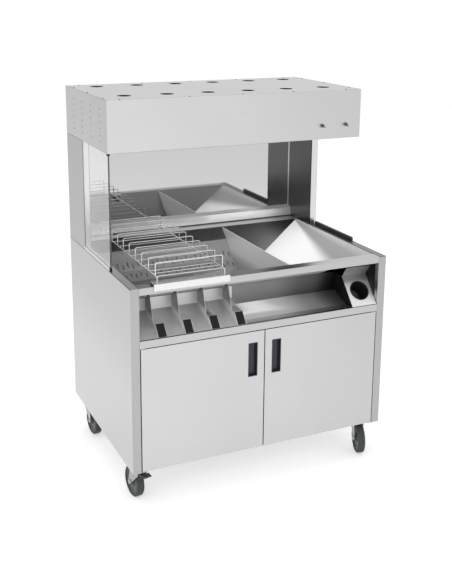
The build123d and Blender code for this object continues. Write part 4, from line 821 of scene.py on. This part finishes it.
def bent_wire(bm, points, radius, bend=0.0, sides=12):
    """Runs a round wire through the points, with a smooth bend at each corner and closed ends."""
    points = [Vector(p) for p in points]
    heading = (points[1] - points[0]).normalized()
    ring = bmesh.ops.create_circle(bm, cap_ends=False, segments=sides, radius=radius,
                                   matrix=towards(points[0], heading))
    edges = list({e for v in ring["verts"] for e in v.link_edges})
    bmesh.ops.contextual_create(bm, geom=edges)
    here = points[0]
    for i in range(1, len(points)):
        last = i == len(points) - 1
        end = points[i]
        turning = None
        if not last:
            following = (points[i + 1] - points[i]).normalized()
            turning = heading.angle(following)
            end = points[i] - heading * (bend * math.tan(turning / 2))
        run = bmesh.ops.extrude_edge_only(bm, edges=edges)
        verts = [g for g in run["geom"] if isinstance(g, bmesh.types.BMVert)]
        edges = [g for g in run["geom"] if isinstance(g, bmesh.types.BMEdge)]
        bmesh.ops.translate(bm, verts=verts, vec=end - here)
        here = end
        if not last:
            axis = heading.cross(following).normalized()
            centre = here + axis.cross(heading) * bend
            spun = bmesh.ops.spin(bm, geom=edges, cent=centre, axis=axis, dvec=(0, 0, 0), angle=turning,
                                  steps=5, use_merge=False, use_duplicate=False)
            edges = [g for g in spun["geom_last"] if isinstance(g, bmesh.types.BMEdge)]
            here = centre - axis.cross(following) * bend
            heading = following
    bmesh.ops.contextual_create(bm, geom=edges)


bm = bmesh.new()
for x in (rack_left, rack_right):
    bent_wire(bm, [(x, FRONT_FOOT[0], FRONT_FOOT[1]), (x, FRONT_FOOT[0], RAIL_LEVEL),
                   (x, REAR_FOOT[0], RAIL_LEVEL), (x, REAR_FOOT[0], REAR_FOOT[1])], WIRE, WIRE_BEND)
hoops = [HOOP_FIRST + HOOP_PITCH * i for i in range(HOOP_COUNT)]
for y in [*hoops, HOOP_FIRST + HOOP_PITCH / 2]:
    bent_wire(bm, [(rack_low.x, y, CROSS_LEVEL), (rack_high.x, y, CROSS_LEVEL)], CROSS_WIRE)
for y in hoops:
    top = RAIL_LEVEL + HOOP_RISE
    bent_wire(bm, [(rack_left, y, RAIL_LEVEL), (rack_left, y, top), (rack_right, y, top),
                   (rack_right, y, RAIL_LEVEL)], WIRE, WIRE_BEND)
bmesh.ops.recalc_face_normals(bm, faces=bm.faces)
for face in bm.faces:
    face.smooth = True
rack_piece = piece_from(bm, "bright_wire_rack", polished("rack_wire", (0.86, 0.86, 0.86), 0.22, metal=0.6), "wire_rack",
                        "rack_wire", "wire_rack")
rack_piece.data.set_sharp_from_angle(angle=math.radians(50))
folded("rack_bracket", brushed_steel("bracket_steel", (0.74, 0.74, 0.74), 0.24, "x"))


# Castors: a pressed and plated fork turns under each bolted plate. A rubber tyre is moulded round a
# grey centre that runs on the fork's axle. The front two have black foot brakes.
TYRE_RADIUS = 0.0625
TYRE_HALF = 0.015
TREAD_DEPTH = 0.016
SHOULDER = 0.006
HUB_HALF = 0.0125
BOSS_HALF = 0.0177
BOSS_RADIUS = 0.013
AXLE_BORE = 0.00605
rubber = moulded("grey_rubber", (0.045, 0.048, 0.047), 0.62, 0.10, 500, 0.0003)
hub_grey = moulded("hub_grey", (0.085, 0.092, 0.094), 0.46)
plate_zinc = brushed_steel("castor_zinc", (0.36, 0.37, 0.38), 0.26, "z", grain=0.04, clouds=0.3)
pedal_black = moulded("pedal_black", (0.045, 0.047, 0.050), 0.26)


def shoulder_arc(centre_r, centre_z, radius, start, end, steps=6):
    points = []
    for step in range(steps + 1):
        angle = math.radians(start + (end - start) * step / steps)
        points.append((centre_r + radius * math.cos(angle), centre_z + radius * math.sin(angle)))
    return points


for corner in ("front_left", "front_right", "rear_left", "rear_right"):
    roll = joint_named(corner + "_roll")
    wheel_place = towards(roll["pos_m"], roll["axis"])
    inner = TYRE_RADIUS - TREAD_DEPTH
    bm = bmesh.new()
    tread = [(inner, -TYRE_HALF + 0.001), (inner + 0.001, -TYRE_HALF)]
    tread += shoulder_arc(TYRE_RADIUS - SHOULDER, -TYRE_HALF + SHOULDER, SHOULDER, -90, -8)
    tread += [(TYRE_RADIUS, -0.004), (TYRE_RADIUS, 0.004)]
    tread += shoulder_arc(TYRE_RADIUS - SHOULDER, TYRE_HALF - SHOULDER, SHOULDER, 8, 90)
    tread += [(inner + 0.001, TYRE_HALF), (inner, TYRE_HALF - 0.001), (inner, -TYRE_HALF + 0.001)]
    lathed(bm, tread, 72)
    bm.transform(wheel_place)
    piece_from(bm, corner + "_tread", rubber, corner + "_wheel", "tyre", corner + "_tyre")
    bm = bmesh.new()
    lathed(bm, [
        (AXLE_BORE, -BOSS_HALF), (BOSS_RADIUS - 0.001, -BOSS_HALF), (BOSS_RADIUS, -BOSS_HALF + 0.001),
        (BOSS_RADIUS, -HUB_HALF), (BOSS_RADIUS + 0.005, -HUB_HALF), (BOSS_RADIUS + 0.006, -HUB_HALF + 0.003),
        (inner - 0.007, -HUB_HALF + 0.003), (inner - 0.005, -HUB_HALF), (inner, -HUB_HALF),
        (inner, HUB_HALF), (inner - 0.005, HUB_HALF), (inner - 0.007, HUB_HALF - 0.003),
        (BOSS_RADIUS + 0.006, HUB_HALF - 0.003), (BOSS_RADIUS + 0.005, HUB_HALF), (BOSS_RADIUS, HUB_HALF),
        (BOSS_RADIUS, BOSS_HALF - 0.001), (BOSS_RADIUS - 0.001, BOSS_HALF), (AXLE_BORE, BOSS_HALF),
        (AXLE_BORE, -BOSS_HALF),
    ], 48)
    bm.transform(wheel_place)
    centre = piece_from(bm, corner + "_centre", hub_grey, corner + "_wheel", "hub", corner + "_hub")
    centre.data.set_sharp_from_angle(angle=math.radians(35))
    folded(corner + "_fork", plate_zinc, fold=0.0012, cut=0.0005)
    if corner.startswith("front"):
        folded(corner + "_pedal", pedal_black, fold=0.0012, cut=0.0008)
folded("castor_plates", plate_zinc, fold=0.0006, cut=0.0004)


# Grommet for the supply lead: black rubber in the hole of the back.
folded("cable_grommet", moulded("grommet_rubber", (0.02, 0.02, 0.021), 0.5), fold=0.001, cut=0.0008)
